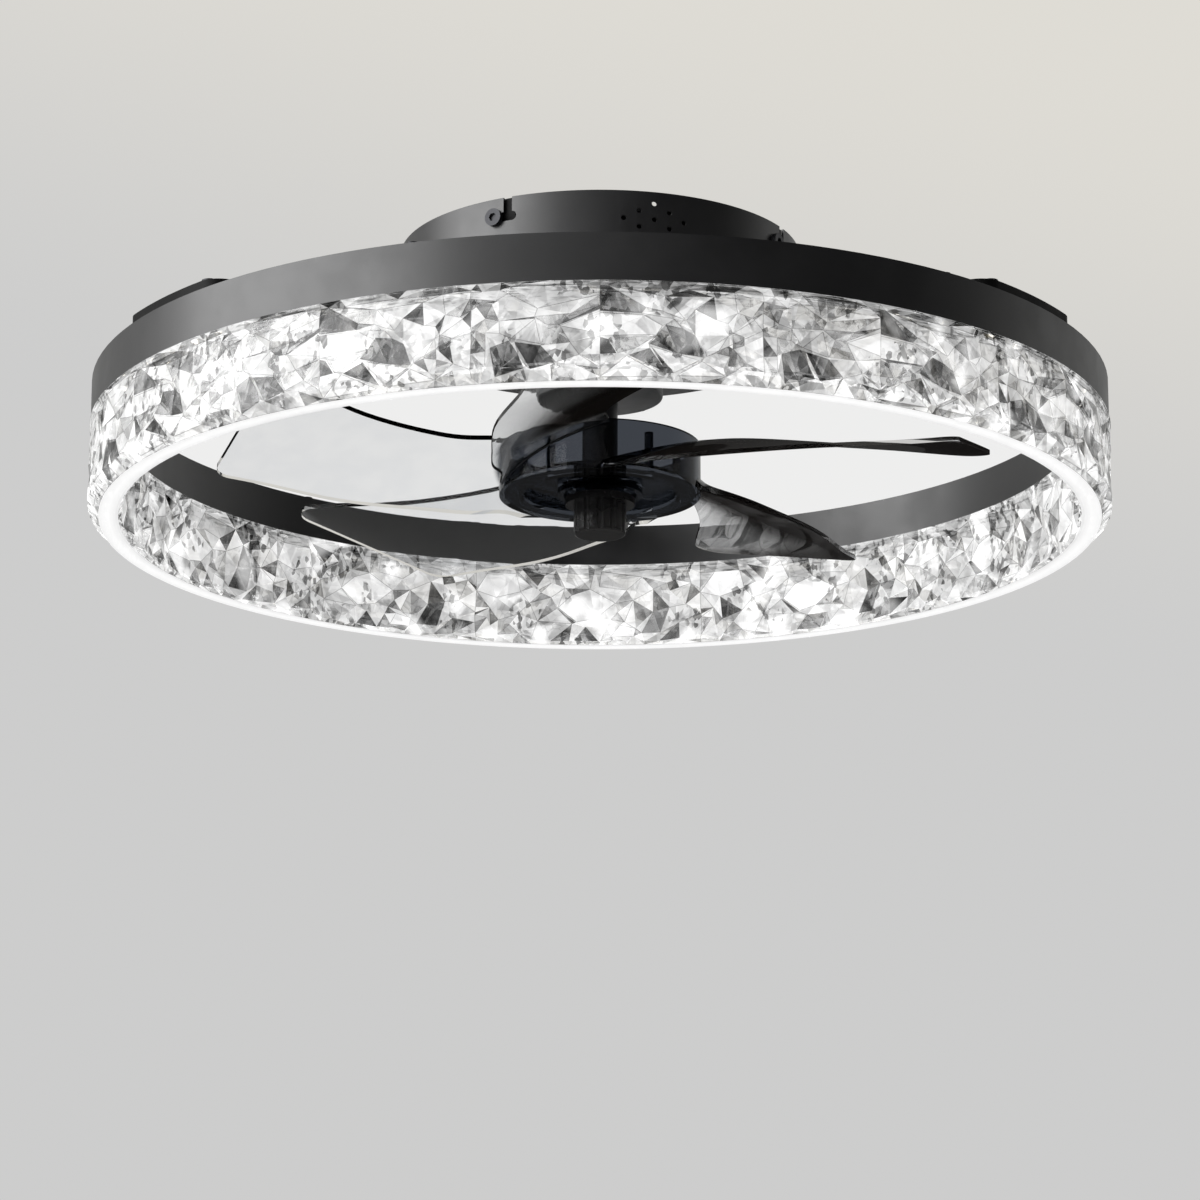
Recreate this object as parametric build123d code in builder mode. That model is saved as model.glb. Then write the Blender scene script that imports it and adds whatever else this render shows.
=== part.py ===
from build123d import *
import math
import os

os.makedirs("parts", exist_ok=True)

# The fan hangs from the ceiling plane at height zero, centred on the Z axis, with its front at -Y
# Every height below is negative; every angle is in degrees, counted from +X towards +Y

# Clearances
cut_overrun = 1.0
screw_clearance = 0.1
press_clearance = 0.03
running_clearance = 0.6
cable_clearance = 0.25

# Ceiling bracket
bracket_thickness = 2.0
bracket_disc_margin = 5.0
bracket_arm_width = 20.0
bracket_ear_drop = 20.0
bracket_ear_clearance = 0.4
bracket_turn = 59.5
bracket_arm_count = 4
bracket_notch_near = 7.0
bracket_notch_far = 39.0
bracket_notch_depths = [25.0, 31.0, 31.0, 20.0]
cable_hole_radius = 12.0
ceiling_slot_width = 5.0
ceiling_slot_spacing_x = 70.0
ceiling_slot_length_x = 24.0
ceiling_slot_spacing_y = 89.0
ceiling_slot_length_y = 20.0

# Canopy
canopy_radius = 99.0
canopy_height = 44.0
canopy_wall = 1.2
canopy_floor = 1.5
canopy_corner_radius = 2.4
bayonet_width = 4.6
bayonet_turn = 4.0
bayonet_overshoot = 2.2
vent_radius = 1.25
vent_azimuth = 285.2
vent_drop = 13.8
vent_pitch_turn = 4.35
vent_pitch_drop = 4.0
vent_rows = 3

# Canopy screws, in the bayonet slots
canopy_screw_drop = 9.6
canopy_screw_head_radius = 4.3
canopy_screw_head_height = 2.4
canopy_screw_radius = 2.0
canopy_screw_length = 8.0
canopy_screw_socket_radius = 2.1
canopy_screw_socket_depth = 1.4

# Chassis plate on the canopy floor
chassis_margin = 11.0
chassis_thickness = 2.5

# Controller
controller_length = 72.0
controller_width = 42.0
controller_setback = 52.0
controller_wall = 1.6
tray_height = 12.0
lid_height = 11.0
board_thickness = 1.6
board_margin = 0.6
board_lift = 3.0
board_boss_radius = 2.4
board_boss_inset = 5.0
capacitor_radius = 5.0
capacitor_height = 11.0
relay_length = 18.0
relay_width = 14.0
relay_height = 9.0
coil_radius = 6.5
coil_height = 8.0
controller_ear_length = 10.0
controller_ear_width = 12.0
controller_ear_thickness = 2.0
small_screw_radius = 1.5
small_screw_head_radius = 2.8
small_screw_head_height = 1.8

# Terminal block and earth screw
terminal_length = 34.0
terminal_width = 16.0
terminal_height = 14.0
terminal_x = 60.0
terminal_y = 12.0
terminal_ways = 3
terminal_pitch = 10.0
terminal_bore_radius = 1.8
terminal_screw_radius = 1.9
terminal_screw_length = 5.0
terminal_screw_sink = 1.0
terminal_well_depth = 6.0
earth_screw_x = -62.0
earth_screw_y = 22.0
earth_screw_radius = 2.0
earth_screw_head_radius = 3.8
earth_screw_head_height = 2.4

# Leads
lead_radius = 1.8
supply_lead_radius = 2.4
lead_bend_radius = 7.0
lead_height = 7.0
lead_edge_margin = 1.0
clip_side = 8.0
clip_depth = 5.4
clip_height = 5.4

# Ring frame
ring_drop = 73.5
ring_outer_radius = 249.3
ring_width = 12.5
ring_height = 22.5
ring_wall = 1.2
ring_top_thickness = 1.5
ring_fastener_inset = 6.1

# Crystal ring
crystal_proud = 0.7
crystal_width = 16.7
crystal_height = 44.5
crystal_outer_wall = 2.6
crystal_inner_wall = 8.3
crystal_floor = 7.5
crystal_outer_bevel = 5.5
crystal_inner_bevel = 1.5
crystal_boss_radius = 3.4
crystal_boss_depth = 3.0
crystal_boss_count = 6
crystal_boss_azimuth = 10.0
crystal_screw_length = 14.0

# Light boards
led_board_count = 6
led_board_azimuth = 40.0
led_board_half_span = 28.0
led_board_thickness = 1.6
led_board_side_clearance = 0.5
led_post_radius = 2.5
led_post_height = 7.0
led_post_turn = 15.0
led_screw_radius = 1.2
led_screw_head_radius = 2.4
led_screw_head_height = 1.4
led_screw_length = 7.5
led_chip_side = 3.0
led_chip_height = 0.8
led_chip_count = 12
led_chip_turn = 4.6

# Arms
arm_thickness = 4.0
arm_width = 16.0
arm_inner_radius = 52.0
arm_crank_margin = 3.0
arm_crank_run = 22.0
arm_bend_radius = 3.0
arm_foot_half_span = 9.6
arm_foot_depth = 13.5
arm_foot_corner = 11.0
arm_edge_margin = 0.3
front_arm_spread = 54.0
rear_arm_azimuth = 90.0
front_azimuth = 270.0
arm_bolt_radius = 2.5
arm_bolt_head_radius = 4.4
arm_bolt_head_height = 2.8
arm_bolt_margin = 12.0
arm_bolt_spacing = 22.0
arm_nut_radius = 4.6
arm_nut_height = 4.0
arm_bolt_end_rise = 2.0
ring_bolt_radius = 2.0
ring_bolt_head_radius = 3.6
ring_bolt_head_height = 1.8
ring_bolt_spread = 28.0
clinch_nut_radius = 3.6
clinch_nut_height = 4.0

# Motor
motor_radius = 31.0
motor_wall = 4.0
motor_top_thickness = 3.0
motor_cap_thickness = 6.0
motor_height = 29.5
motor_cap_lip = 1.0
motor_cap_bore_clearance = 2.0
bearing_outer_radius = 8.0
bearing_width = 5.0
bearing_race = 1.1
bearing_ball_radius = 1.2
bearing_ball_clearance = 0.05
bearing_ball_count = 8
bearing_boss_wall = 3.0
stator_yoke = 3.5
stator_height = 12.0
stator_inner_radius = 15.5
stator_top_gap = 5.0
stator_teeth = 9
tooth_width = 4.0
tooth_tip_width = 8.0
tooth_tip_depth = 1.6
coil_thickness = 2.0
coil_gap = 0.15
coil_overhang = 2.0
coil_inset = 0.6
rotor_core_radius = 12.5
magnet_thickness = 2.4
magnet_count = 8
magnet_half_span = 20.5
rotor_core_height = 11.5
rotor_top_gap = 6.0
motor_screw_radius = 2.0
motor_screw_ring_radius = 22.0
motor_screw_count = 4
motor_screw_head_radius = 3.6
motor_screw_head_height = 2.6
cap_screw_radius = 1.25
cap_screw_head_radius = 1.8
cap_screw_head_height = 1.2
cap_screw_length = 11.0
cap_screw_count = 4
cap_screw_turn = 45.0
motor_lead_offset = 20.0

# Shaft and drive
shaft_radius = 4.0
shaft_top_gap = 0.4
shaft_end_gap = 1.0
sleeve_radius = 8.75
sleeve_top_gap = 1.0
drive_pin_radius = 1.5
drive_pin_length = 25.0
drive_pin_rise = 3.0

# Blade wheel
drum_drop = 98.5
drum_radius = 49.5
drum_height = 25.0
drum_wall = 2.5
drum_rim_width = 12.0
drum_rim_thickness = 2.5
drum_recess_depth = 4.0
drum_web_thickness = 2.5
hub_ring_outer_radius = 21.0
hub_ring_width = 3.0
hub_boss_radius = 12.0
drive_boss_radius = 14.5
drive_boss_height = 5.5
wheel_post_radius = 2.1
wheel_post_ring_radius = 40.0
wheel_post_height = 20.0
wheel_post_azimuth = 18.0
blade_count = 5
blade_azimuth = 2.8
blade_thickness = 2.2
blade_tip_radius = 196.0
blade_tip_setback = 6.0
blade_tip_corner = 10.0
blade_radius_shares = [0.0, 0.06, 0.14, 0.27, 0.44, 0.60, 0.78, 1.0]
high_edge_turns = [-16.0, -17.5, -18.5, -15.5, -10.8, -7.0, -2.9, 0.0]
low_edge_turns = [-92.0, -76.0, -68.0, -57.0, -48.0, -41.5, -34.8, -30.5]
high_edge_drop_shares = [0.04, 0.06, 0.09, 0.12, 0.14, 0.13, 0.10, 0.05]
low_edge_drop_shares = [0.92, 0.94, 0.96, 0.98, 0.99, 0.98, 0.93, 0.86]
blade_root_share = -0.03
blade_sheet_start_share = -0.06
blade_sheet_end_share = 1.06
chord_sheet_shares = [-0.06, 0.2, 0.4, 0.6, 0.8, 1.06]

# Washer and lock nut
clamp_washer_radius = 11.0
clamp_washer_thickness = 1.5
nut_flange_radius = 17.0
nut_flange_thickness = 3.5
nut_radius = 13.0
nut_height = 18.7
nut_cap_thickness = 3.0
nut_flute_count = 12
nut_flute_radius = 2.2
nut_flute_depth = 0.9
nut_edge_radius = 2.0

# Levels worked out from the sizes above
canopy_bottom = -canopy_height
floor_top = canopy_bottom + canopy_floor
chassis_top = floor_top + chassis_thickness
arm_pad_bottom = canopy_bottom - arm_thickness
ring_top = -ring_drop
ring_ceiling = ring_top - ring_top_thickness
ring_bottom = ring_top - ring_height
led_board_top = ring_ceiling - led_post_height
led_board_bottom = led_board_top - led_board_thickness
ring_inner_radius = ring_outer_radius - ring_width
crystal_bottom = ring_bottom - crystal_height
bracket_disc_radius = canopy_radius - bracket_disc_margin
chassis_radius = canopy_radius - chassis_margin
arm_crank_radius = canopy_radius - arm_crank_margin
arm_bolt_outer_radius = arm_crank_radius - arm_bolt_margin
arm_bolt_inner_radius = arm_bolt_outer_radius - arm_bolt_spacing
crystal_outer_radius = ring_outer_radius + crystal_proud
crystal_inner_radius = crystal_outer_radius - crystal_width
ring_fastener_radius = ring_outer_radius - ring_fastener_inset
arm_reach = ring_outer_radius - arm_edge_margin
motor_top = canopy_bottom
motor_bottom = motor_top - motor_height
motor_bore = motor_radius - motor_wall
motor_cap_top = motor_bottom + motor_cap_thickness
motor_ceiling = motor_top - motor_top_thickness
lower_bearing_bottom = motor_bottom + motor_cap_lip
lower_bearing_top = lower_bearing_bottom + bearing_width
upper_bearing_bottom = motor_ceiling - bearing_width
stator_top = motor_ceiling - stator_top_gap
stator_bottom = stator_top - stator_height
rotor_top = motor_ceiling - rotor_top_gap
rotor_bottom = rotor_top - rotor_core_height
drum_top = -drum_drop
drum_bottom = drum_top - drum_height
web_bottom = drum_bottom + drum_recess_depth
web_top = web_bottom + drum_web_thickness
rim_top = drum_bottom + drum_rim_thickness
rim_inner_radius = drum_radius - drum_rim_width
drum_bore = drum_radius - drum_wall
sleeve_top = motor_bottom - sleeve_top_gap
drive_pin_height = web_top + drive_pin_rise
washer_bottom = drum_bottom - clamp_washer_thickness
nut_bottom = washer_bottom - nut_height
shaft_top = motor_ceiling - shaft_top_gap
shaft_bottom = nut_bottom + nut_cap_thickness + shaft_end_gap
lead_level = chassis_top + lead_height
arm_azimuths = {
    "arm_left": front_azimuth - front_arm_spread,
    "arm_right": front_azimuth + front_arm_spread,
    "arm_rear": rear_arm_azimuth,
}


def polar(radius, azimuth, height=0.0):
    """A point at a radius, an azimuth and a height."""
    angle = math.radians(azimuth)
    return Vector(radius * math.cos(angle), radius * math.sin(angle), height)


def outward(radius, azimuth, height):
    """A plane that faces away from the axis, with its own X running round and its Y going up."""
    angle = math.radians(azimuth)
    across = (-math.sin(angle), math.cos(angle), 0)
    away = (math.cos(angle), math.sin(angle), 0)
    return Plane(origin=polar(radius, azimuth, height), x_dir=across, z_dir=away)


def arm_side(azimuth):
    """The upright plane of an arm, with its X running outwards and its Y going up."""
    angle = math.radians(azimuth)
    return Plane(
        origin=(0, 0, 0),
        x_dir=(math.cos(angle), math.sin(angle), 0),
        z_dir=(math.sin(angle), -math.cos(angle), 0),
    )


def downward(point):
    """A plane at a point that faces the floor."""
    return Plane(origin=point, x_dir=(1, 0, 0), z_dir=(0, 0, -1))


def disc(radius, height):
    """A round outline at a height."""
    with BuildSketch(Plane.XY.offset(height)) as outline:
        Circle(radius)
    return outline.sketch


def annulus(outer, inner, height):
    """A round outline with a round hole, at a height."""
    with BuildSketch(Plane.XY.offset(height)) as outline:
        Circle(outer)
        Circle(inner, mode=Mode.SUBTRACT)
    return outline.sketch


def band(outer, inner, azimuth, half_span, height):
    """A piece of a ring, centred on an azimuth, at a height."""
    with BuildSketch(Plane.XY.offset(height)) as outline:
        with BuildLine():
            outer_arc = CenterArc((0, 0), outer, azimuth - half_span, half_span * 2)
            inner_arc = CenterArc((0, 0), inner, azimuth - half_span, half_span * 2)
            Line(outer_arc @ 0, inner_arc @ 0)
            Line(outer_arc @ 1, inner_arc @ 1)
        make_face()
    return outline.sketch


def holes(points, radius, height):
    """A set of round outlines at the same height."""
    with BuildSketch(Plane.XY.offset(height)) as outline:
        with Locations(*[(point.X, point.Y) for point in points]):
            Circle(radius)
    return outline.sketch


def section(*points):
    """A closed outline in the plane of radius and height, to be turned about the axis."""
    with BuildSketch(Plane.XZ) as outline:
        with BuildLine():
            Polyline(*points, close=True)
        make_face()
    return outline.sketch


def screw(radius, length, head_radius, head_height, socket_radius=0.0, socket_depth=0.0):
    """A screw whose head stands above its own origin, with the shank below it."""
    with BuildPart() as piece:
        extrude(disc(radius, -length), amount=length)
        extrude(disc(head_radius, 0), amount=head_height)
        if socket_radius > 0:
            with BuildSketch(Plane.XY.offset(head_height)) as socket:
                RegularPolygon(socket_radius, 6)
            extrude(socket.sketch, amount=-socket_depth, mode=Mode.SUBTRACT)
    return piece.part


def hex_nut(radius, height, bore):
    """A hexagon nut that stands on its own origin."""
    with BuildPart() as piece:
        with BuildSketch() as outline:
            RegularPolygon(radius, 6)
            Circle(bore, mode=Mode.SUBTRACT)
        extrude(outline.sketch, amount=height)
    return piece.part


def save(part, name):
    """Names a finished piece and writes it to its own file."""
    part.label = name
    export_step(part, "parts/" + name + ".step")


def save_group(piece, places, name):
    """Writes copies of one piece, standing at several places, as one group."""
    with BuildPart() as group:
        with Locations(*places):
            add(piece)
    save(group.part, name)


# Where the fasteners go
canopy_screw_azimuths = [bracket_turn + step * 360 / bracket_arm_count for step in range(bracket_arm_count)]
motor_screw_points = [
    polar(motor_screw_ring_radius, 45 + step * 360 / motor_screw_count) for step in range(motor_screw_count)
]
arm_bolt_points = [
    polar(radius, azimuth)
    for azimuth in arm_azimuths.values()
    for radius in (arm_bolt_inner_radius, arm_bolt_outer_radius)
]
ring_bolt_turn = math.degrees(math.asin(ring_bolt_spread / ring_fastener_radius))
ring_bolt_points = [
    polar(ring_fastener_radius, arm_azimuths[name] + side * ring_bolt_turn)
    for name in ("arm_left", "arm_right")
    for side in (-1, 1)
] + [polar(ring_fastener_radius, rear_arm_azimuth)]
crystal_screw_points = [
    polar(ring_fastener_radius, crystal_boss_azimuth + step * 360 / crystal_boss_count)
    for step in range(crystal_boss_count)
]
led_post_points = [
    polar(ring_fastener_radius, led_board_azimuth + step * 360 / led_board_count + side * led_post_turn)
    for step in range(led_board_count)
    for side in (-1, 1)
]
motor_lead_point = Vector(-motor_lead_offset, 0, 0)
earth_point = Vector(earth_screw_x, earth_screw_y, 0)
ear_centre_x = controller_length / 2 + controller_ear_length / 2
controller_screw_points = [Vector(side * ear_centre_x, -controller_setback, 0) for side in (-1, 1)]
terminal_mount_points = [
    Vector(terminal_x, terminal_y + side * terminal_pitch / 2, 0) for side in (-1, 1)
]

# The lead to the ring: out of the controller, over the rear arm and down into the ring frame
ring_lead_x = arm_width / 2 - lead_radius - lead_edge_margin
ring_lead_start_x = controller_length / 4
controller_back = -controller_setback + controller_width / 2
arm_top_level = ring_top + arm_thickness + lead_radius + screw_clearance
ring_lead_drop_radius = arm_crank_radius + arm_crank_run
ring_lead_end_x = ring_lead_x + arm_width / 2 + lead_radius
ring_lead_points = [
    Vector(ring_lead_start_x, controller_back, lead_level),
    Vector(ring_lead_start_x, motor_radius + lead_bend_radius, lead_level),
    Vector(ring_lead_x, arm_bolt_outer_radius - lead_bend_radius, lead_level),
    Vector(ring_lead_x, ring_lead_drop_radius - lead_bend_radius, lead_level),
    Vector(ring_lead_x, ring_lead_drop_radius + lead_bend_radius, arm_top_level),
    Vector(ring_lead_x, ring_inner_radius - arm_width, arm_top_level),
    Vector(ring_lead_end_x, ring_fastener_radius - lead_radius, arm_top_level),
    Vector(ring_lead_end_x, ring_fastener_radius - lead_radius, led_board_top),
]
ring_lead_hole = ring_lead_points[-1]


# Ceiling bracket: a round plate with four bent-down ears that the canopy screws go into, and four
# notches in its rim where the mains wires pass
ear_face = math.sqrt(
    (canopy_radius - canopy_wall - bracket_ear_clearance) ** 2 - (bracket_arm_width / 2) ** 2
)
with BuildPart() as ceiling_bracket:
    with BuildSketch(Plane.XY.offset(-bracket_thickness)):
        Circle(bracket_disc_radius)
        with PolarLocations(0, bracket_arm_count, start_angle=bracket_turn):
            Rectangle(ear_face, bracket_arm_width, align=(Align.MIN, Align.CENTER))
        for step, depth in enumerate(bracket_notch_depths):
            notch_place = Location((bracket_disc_radius - depth, bracket_notch_near))
            with Locations(Rotation(0, 0, step * 360 / bracket_arm_count) * notch_place):
                Rectangle(
                    depth + cut_overrun,
                    bracket_notch_far - bracket_notch_near,
                    align=(Align.MIN, Align.MIN),
                    mode=Mode.SUBTRACT,
                )
        Circle(cable_hole_radius, mode=Mode.SUBTRACT)
        with GridLocations(ceiling_slot_spacing_x, 0, 2, 1):
            SlotOverall(ceiling_slot_length_x, ceiling_slot_width, mode=Mode.SUBTRACT)
        with GridLocations(0, ceiling_slot_spacing_y, 1, 2):
            SlotOverall(ceiling_slot_length_y, ceiling_slot_width, rotation=90, mode=Mode.SUBTRACT)
    extrude(amount=bracket_thickness)
    for azimuth in canopy_screw_azimuths:
        with BuildSketch(outward(ear_face, azimuth, 0)) as ear:
            Rectangle(bracket_arm_width, bracket_ear_drop, align=(Align.CENTER, Align.MAX))
            with Locations((0, -canopy_screw_drop)):
                Circle(canopy_screw_radius + screw_clearance, mode=Mode.SUBTRACT)
        extrude(ear.sketch, amount=-bracket_thickness)
save(ceiling_bracket.part, "ceiling_bracket")

# Canopy: a drawn steel cup, open at the ceiling, with four bayonet slots and the vent holes
floor_hole_sets = [
    (motor_screw_points, motor_screw_radius + screw_clearance),
    (arm_bolt_points, arm_bolt_radius + screw_clearance),
    ([motor_lead_point], lead_radius + cable_clearance),
]
bayonet_offset = canopy_radius * math.radians(bayonet_turn)
grommet_radius = lead_radius + canopy_wall
with BuildPart() as canopy:
    extrude(disc(canopy_radius, canopy_bottom), amount=canopy_height)
    fillet(canopy.faces().sort_by(Axis.Z)[0].edges(), radius=canopy_corner_radius)
    extrude(disc(canopy_radius - canopy_wall, floor_top), amount=canopy_height, mode=Mode.SUBTRACT)
    for points, radius in floor_hole_sets:
        extrude(holes(points, radius, canopy_bottom), amount=canopy_floor, mode=Mode.SUBTRACT)
    for azimuth in canopy_screw_azimuths:
        with BuildSketch(outward(canopy_radius - bayonet_offset, azimuth, -canopy_screw_drop)) as bayonet:
            Circle(bayonet_width / 2)
            Rectangle(bayonet_offset, bayonet_width, align=(Align.MIN, Align.CENTER))
            with Locations((bayonet_offset + bayonet_overshoot, 0)):
                Circle(bayonet_width / 2)
                Rectangle(bayonet_overshoot, bayonet_width, align=(Align.MAX, Align.CENTER))
            with Locations((bayonet_offset, 0)):
                Rectangle(
                    bayonet_width, canopy_screw_drop + cut_overrun, align=(Align.CENTER, Align.MIN)
                )
        extrude(bayonet.sketch, amount=bayonet_offset + cut_overrun, mode=Mode.SUBTRACT)
    for first in range(vent_rows):
        for second in range(vent_rows):
            column = first - second
            row = first + second - (vent_rows - 1)
            vent_height = -vent_drop - row * vent_pitch_drop
            vent_plane = outward(canopy_radius, vent_azimuth + column * vent_pitch_turn, vent_height)
            with BuildSketch(vent_plane) as vent:
                Circle(vent_radius)
            extrude(vent.sketch, amount=-canopy_wall - cut_overrun, mode=Mode.SUBTRACT)
    with BuildSketch(Plane.XZ.offset(-canopy_radius - cut_overrun)) as lead_hole:
        with Locations((ring_lead_x, lead_level)):
            Circle(grommet_radius + screw_clearance)
    extrude(lead_hole.sketch, amount=canopy_wall + cut_overrun * 2, mode=Mode.SUBTRACT)
save(canopy.part, "canopy")

# Canopy screws: they pass the bayonet slots and grip the bracket's ears
canopy_screw = screw(
    canopy_screw_radius,
    canopy_screw_length,
    canopy_screw_head_radius,
    canopy_screw_head_height,
    canopy_screw_socket_radius,
    canopy_screw_socket_depth,
)
canopy_screw_places = [
    outward(canopy_radius, azimuth, -canopy_screw_drop) for azimuth in canopy_screw_azimuths
]
save_group(canopy_screw, canopy_screw_places, "canopy_screws")

chassis_hole_sets = [
    ([earth_point], earth_screw_radius + screw_clearance),
    (controller_screw_points + terminal_mount_points, small_screw_radius + screw_clearance),
]

# Chassis plate: it stiffens the canopy floor where the arms and the motor pull on it
with BuildPart() as chassis_plate:
    extrude(disc(chassis_radius, floor_top), amount=chassis_thickness)
    for points, radius in floor_hole_sets:
        extrude(holes(points, radius, floor_top), amount=chassis_thickness, mode=Mode.SUBTRACT)
    for points, radius in chassis_hole_sets:
        extrude(holes(points, radius, floor_top), amount=chassis_thickness, mode=Mode.SUBTRACT)
save(chassis_plate.part, "chassis_plate")

# Controller tray, with a screw ear at each end and four bosses for the board
tray_top = chassis_top + tray_height
board_boss_x = controller_length / 2 - controller_wall - board_boss_inset
board_boss_y = controller_width / 2 - controller_wall - board_boss_inset
board_bottom = chassis_top + controller_wall + board_lift
board_top = board_bottom + board_thickness
lead_port_radius = lead_radius + cable_clearance
with BuildPart() as controller_tray:
    with BuildSketch(Plane.XY.offset(chassis_top)):
        with Locations((0, -controller_setback)):
            Rectangle(controller_length, controller_width)
    extrude(amount=tray_height)
    with BuildSketch(Plane.XY.offset(chassis_top + controller_wall)):
        with Locations((0, -controller_setback)):
            Rectangle(controller_length - controller_wall * 2, controller_width - controller_wall * 2)
    extrude(amount=tray_height, mode=Mode.SUBTRACT)
    with BuildSketch(Plane.XY.offset(chassis_top + controller_wall)):
        with Locations((0, -controller_setback)):
            with GridLocations(board_boss_x * 2, board_boss_y * 2, 2, 2):
                Circle(board_boss_radius)
    extrude(amount=board_lift)
    with BuildSketch(Plane.XY.offset(chassis_top)):
        with Locations(*[(point.X, point.Y) for point in controller_screw_points]):
            Rectangle(controller_ear_length, controller_ear_width)
            Circle(small_screw_radius + screw_clearance, mode=Mode.SUBTRACT)
    extrude(amount=controller_ear_thickness)
    with BuildSketch(Plane.XZ.offset(-controller_back - cut_overrun)) as ports:
        with Locations((ring_lead_start_x, lead_level), (-motor_lead_offset, lead_level)):
            Circle(lead_port_radius)
    extrude(ports.sketch, amount=controller_wall + cut_overrun, mode=Mode.SUBTRACT)
    with BuildSketch(Plane.YZ.offset(controller_length / 2 - controller_wall)) as supply_port:
        with Locations((-controller_setback, lead_level)):
            Circle(supply_lead_radius + cable_clearance)
    extrude(supply_port.sketch, amount=controller_wall + cut_overrun, mode=Mode.SUBTRACT)
save(controller_tray.part, "controller_tray")

# Controller lid: a cover that stands on the tray's rim
with BuildPart() as controller_lid:
    with BuildSketch(Plane.XY.offset(tray_top)):
        with Locations((0, -controller_setback)):
            Rectangle(controller_length, controller_width)
    extrude(amount=lid_height)
    with BuildSketch(Plane.XY.offset(tray_top)):
        with Locations((0, -controller_setback)):
            Rectangle(controller_length - controller_wall * 2, controller_width - controller_wall * 2)
    extrude(amount=lid_height - controller_wall, mode=Mode.SUBTRACT)
save(controller_lid.part, "controller_lid")

# Controller board, and the tall components that stand on it
board_length = controller_length - (controller_wall + board_margin) * 2
board_width = controller_width - (controller_wall + board_margin) * 2
with BuildPart() as controller_board:
    with BuildSketch(Plane.XY.offset(board_bottom)):
        with Locations((0, -controller_setback)):
            Rectangle(board_length, board_width)
    extrude(amount=board_thickness)
save(controller_board.part, "controller_board")

with BuildPart() as board_components:
    with BuildSketch(Plane.XY.offset(board_top)) as capacitors:
        with Locations((board_length / 4, -controller_setback)):
            with GridLocations(capacitor_radius * 3, 0, 2, 1):
                Circle(capacitor_radius)
    extrude(capacitors.sketch, amount=capacitor_height)
    with BuildSketch(Plane.XY.offset(board_top)) as relay:
        with Locations((-board_length / 3, -controller_setback)):
            Rectangle(relay_width, relay_length)
    extrude(relay.sketch, amount=relay_height)
    with BuildSketch(Plane.XY.offset(board_top)) as coil:
        with Locations((-coil_radius, -controller_setback)):
            Circle(coil_radius)
            Circle(coil_radius / 2, mode=Mode.SUBTRACT)
    extrude(coil.sketch, amount=coil_height)
save(board_components.part, "board_components")

controller_screw = screw(
    small_screw_radius,
    controller_ear_thickness + chassis_thickness,
    small_screw_head_radius,
    small_screw_head_height,
)
ear_top = chassis_top + controller_ear_thickness
save_group(
    controller_screw,
    [(point.X, point.Y, ear_top) for point in controller_screw_points],
    "controller_screws",
)

# Terminal block, its clamp screws and the earth screw
with BuildPart() as terminal_block:
    with BuildSketch(Plane.XY.offset(chassis_top)):
        with Locations((terminal_x, terminal_y)):
            Rectangle(terminal_width, terminal_length)
    extrude(amount=terminal_height)
    with BuildSketch(Plane.YZ.offset(terminal_x - terminal_width / 2)) as wire_bores:
        with Locations((terminal_y, chassis_top + terminal_height / 2)):
            with GridLocations(terminal_pitch, 0, terminal_ways, 1):
                Circle(terminal_bore_radius)
    extrude(wire_bores.sketch, amount=terminal_width, mode=Mode.SUBTRACT)
    with BuildSketch(Plane.XY.offset(chassis_top + terminal_height)) as screw_wells:
        with Locations((terminal_x, terminal_y)):
            with GridLocations(0, terminal_pitch, 1, terminal_ways):
                Circle(terminal_screw_radius + screw_clearance)
    extrude(screw_wells.sketch, amount=-terminal_well_depth, mode=Mode.SUBTRACT)
    extrude(
        holes(terminal_mount_points, small_screw_radius + screw_clearance, chassis_top),
        amount=terminal_height,
        mode=Mode.SUBTRACT,
    )
save(terminal_block.part, "terminal_block")

terminal_top = chassis_top + terminal_height
terminal_mount_screw = screw(
    small_screw_radius,
    terminal_height + chassis_thickness,
    small_screw_head_radius,
    small_screw_head_height,
)
save_group(
    terminal_mount_screw,
    [(point.X, point.Y, terminal_top) for point in terminal_mount_points],
    "terminal_mount_screws",
)

with BuildPart() as terminal_screws:
    with BuildSketch(Plane.XY.offset(terminal_top - terminal_screw_sink - terminal_screw_length)):
        with Locations((terminal_x, terminal_y)):
            with GridLocations(0, terminal_pitch, 1, terminal_ways):
                Circle(terminal_screw_radius)
    extrude(amount=terminal_screw_length)
save(terminal_screws.part, "terminal_screws")

earth_screw = screw(earth_screw_radius, chassis_thickness, earth_screw_head_radius, earth_screw_head_height)
save_group(earth_screw, [(earth_screw_x, earth_screw_y, chassis_top)], "earth_screw")


# Leads inside the canopy and along the rear arm
def lead(points, radius, bends):
    """A round cable along straight runs joined by arcs."""
    with BuildPart() as cable:
        with BuildLine() as route:
            FilletPolyline(*points, radius=bends)
        with BuildSketch(Plane(origin=points[0], z_dir=points[1] - points[0])):
            Circle(radius)
        sweep(path=route.line)
    return cable.part


supply_lead_points = [
    Vector(terminal_x, terminal_y - terminal_length / 2, lead_level),
    Vector(terminal_x, -controller_setback, lead_level),
    Vector(controller_length / 2 - controller_wall, -controller_setback, lead_level),
]
save(lead(supply_lead_points, supply_lead_radius, [lead_bend_radius]), "supply_lead")

motor_lead_points = [
    Vector(-motor_lead_offset, 0, motor_ceiling - lead_radius),
    Vector(-motor_lead_offset, 0, lead_level),
    Vector(-motor_lead_offset, controller_back - controller_wall, lead_level),
]
save(lead(motor_lead_points, lead_radius, [lead_bend_radius]), "motor_lead")

ring_lead_bends = [lead_bend_radius * 2] * 5 + [lead_bend_radius]
save(lead(ring_lead_points, lead_radius, ring_lead_bends), "ring_lead")

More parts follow.
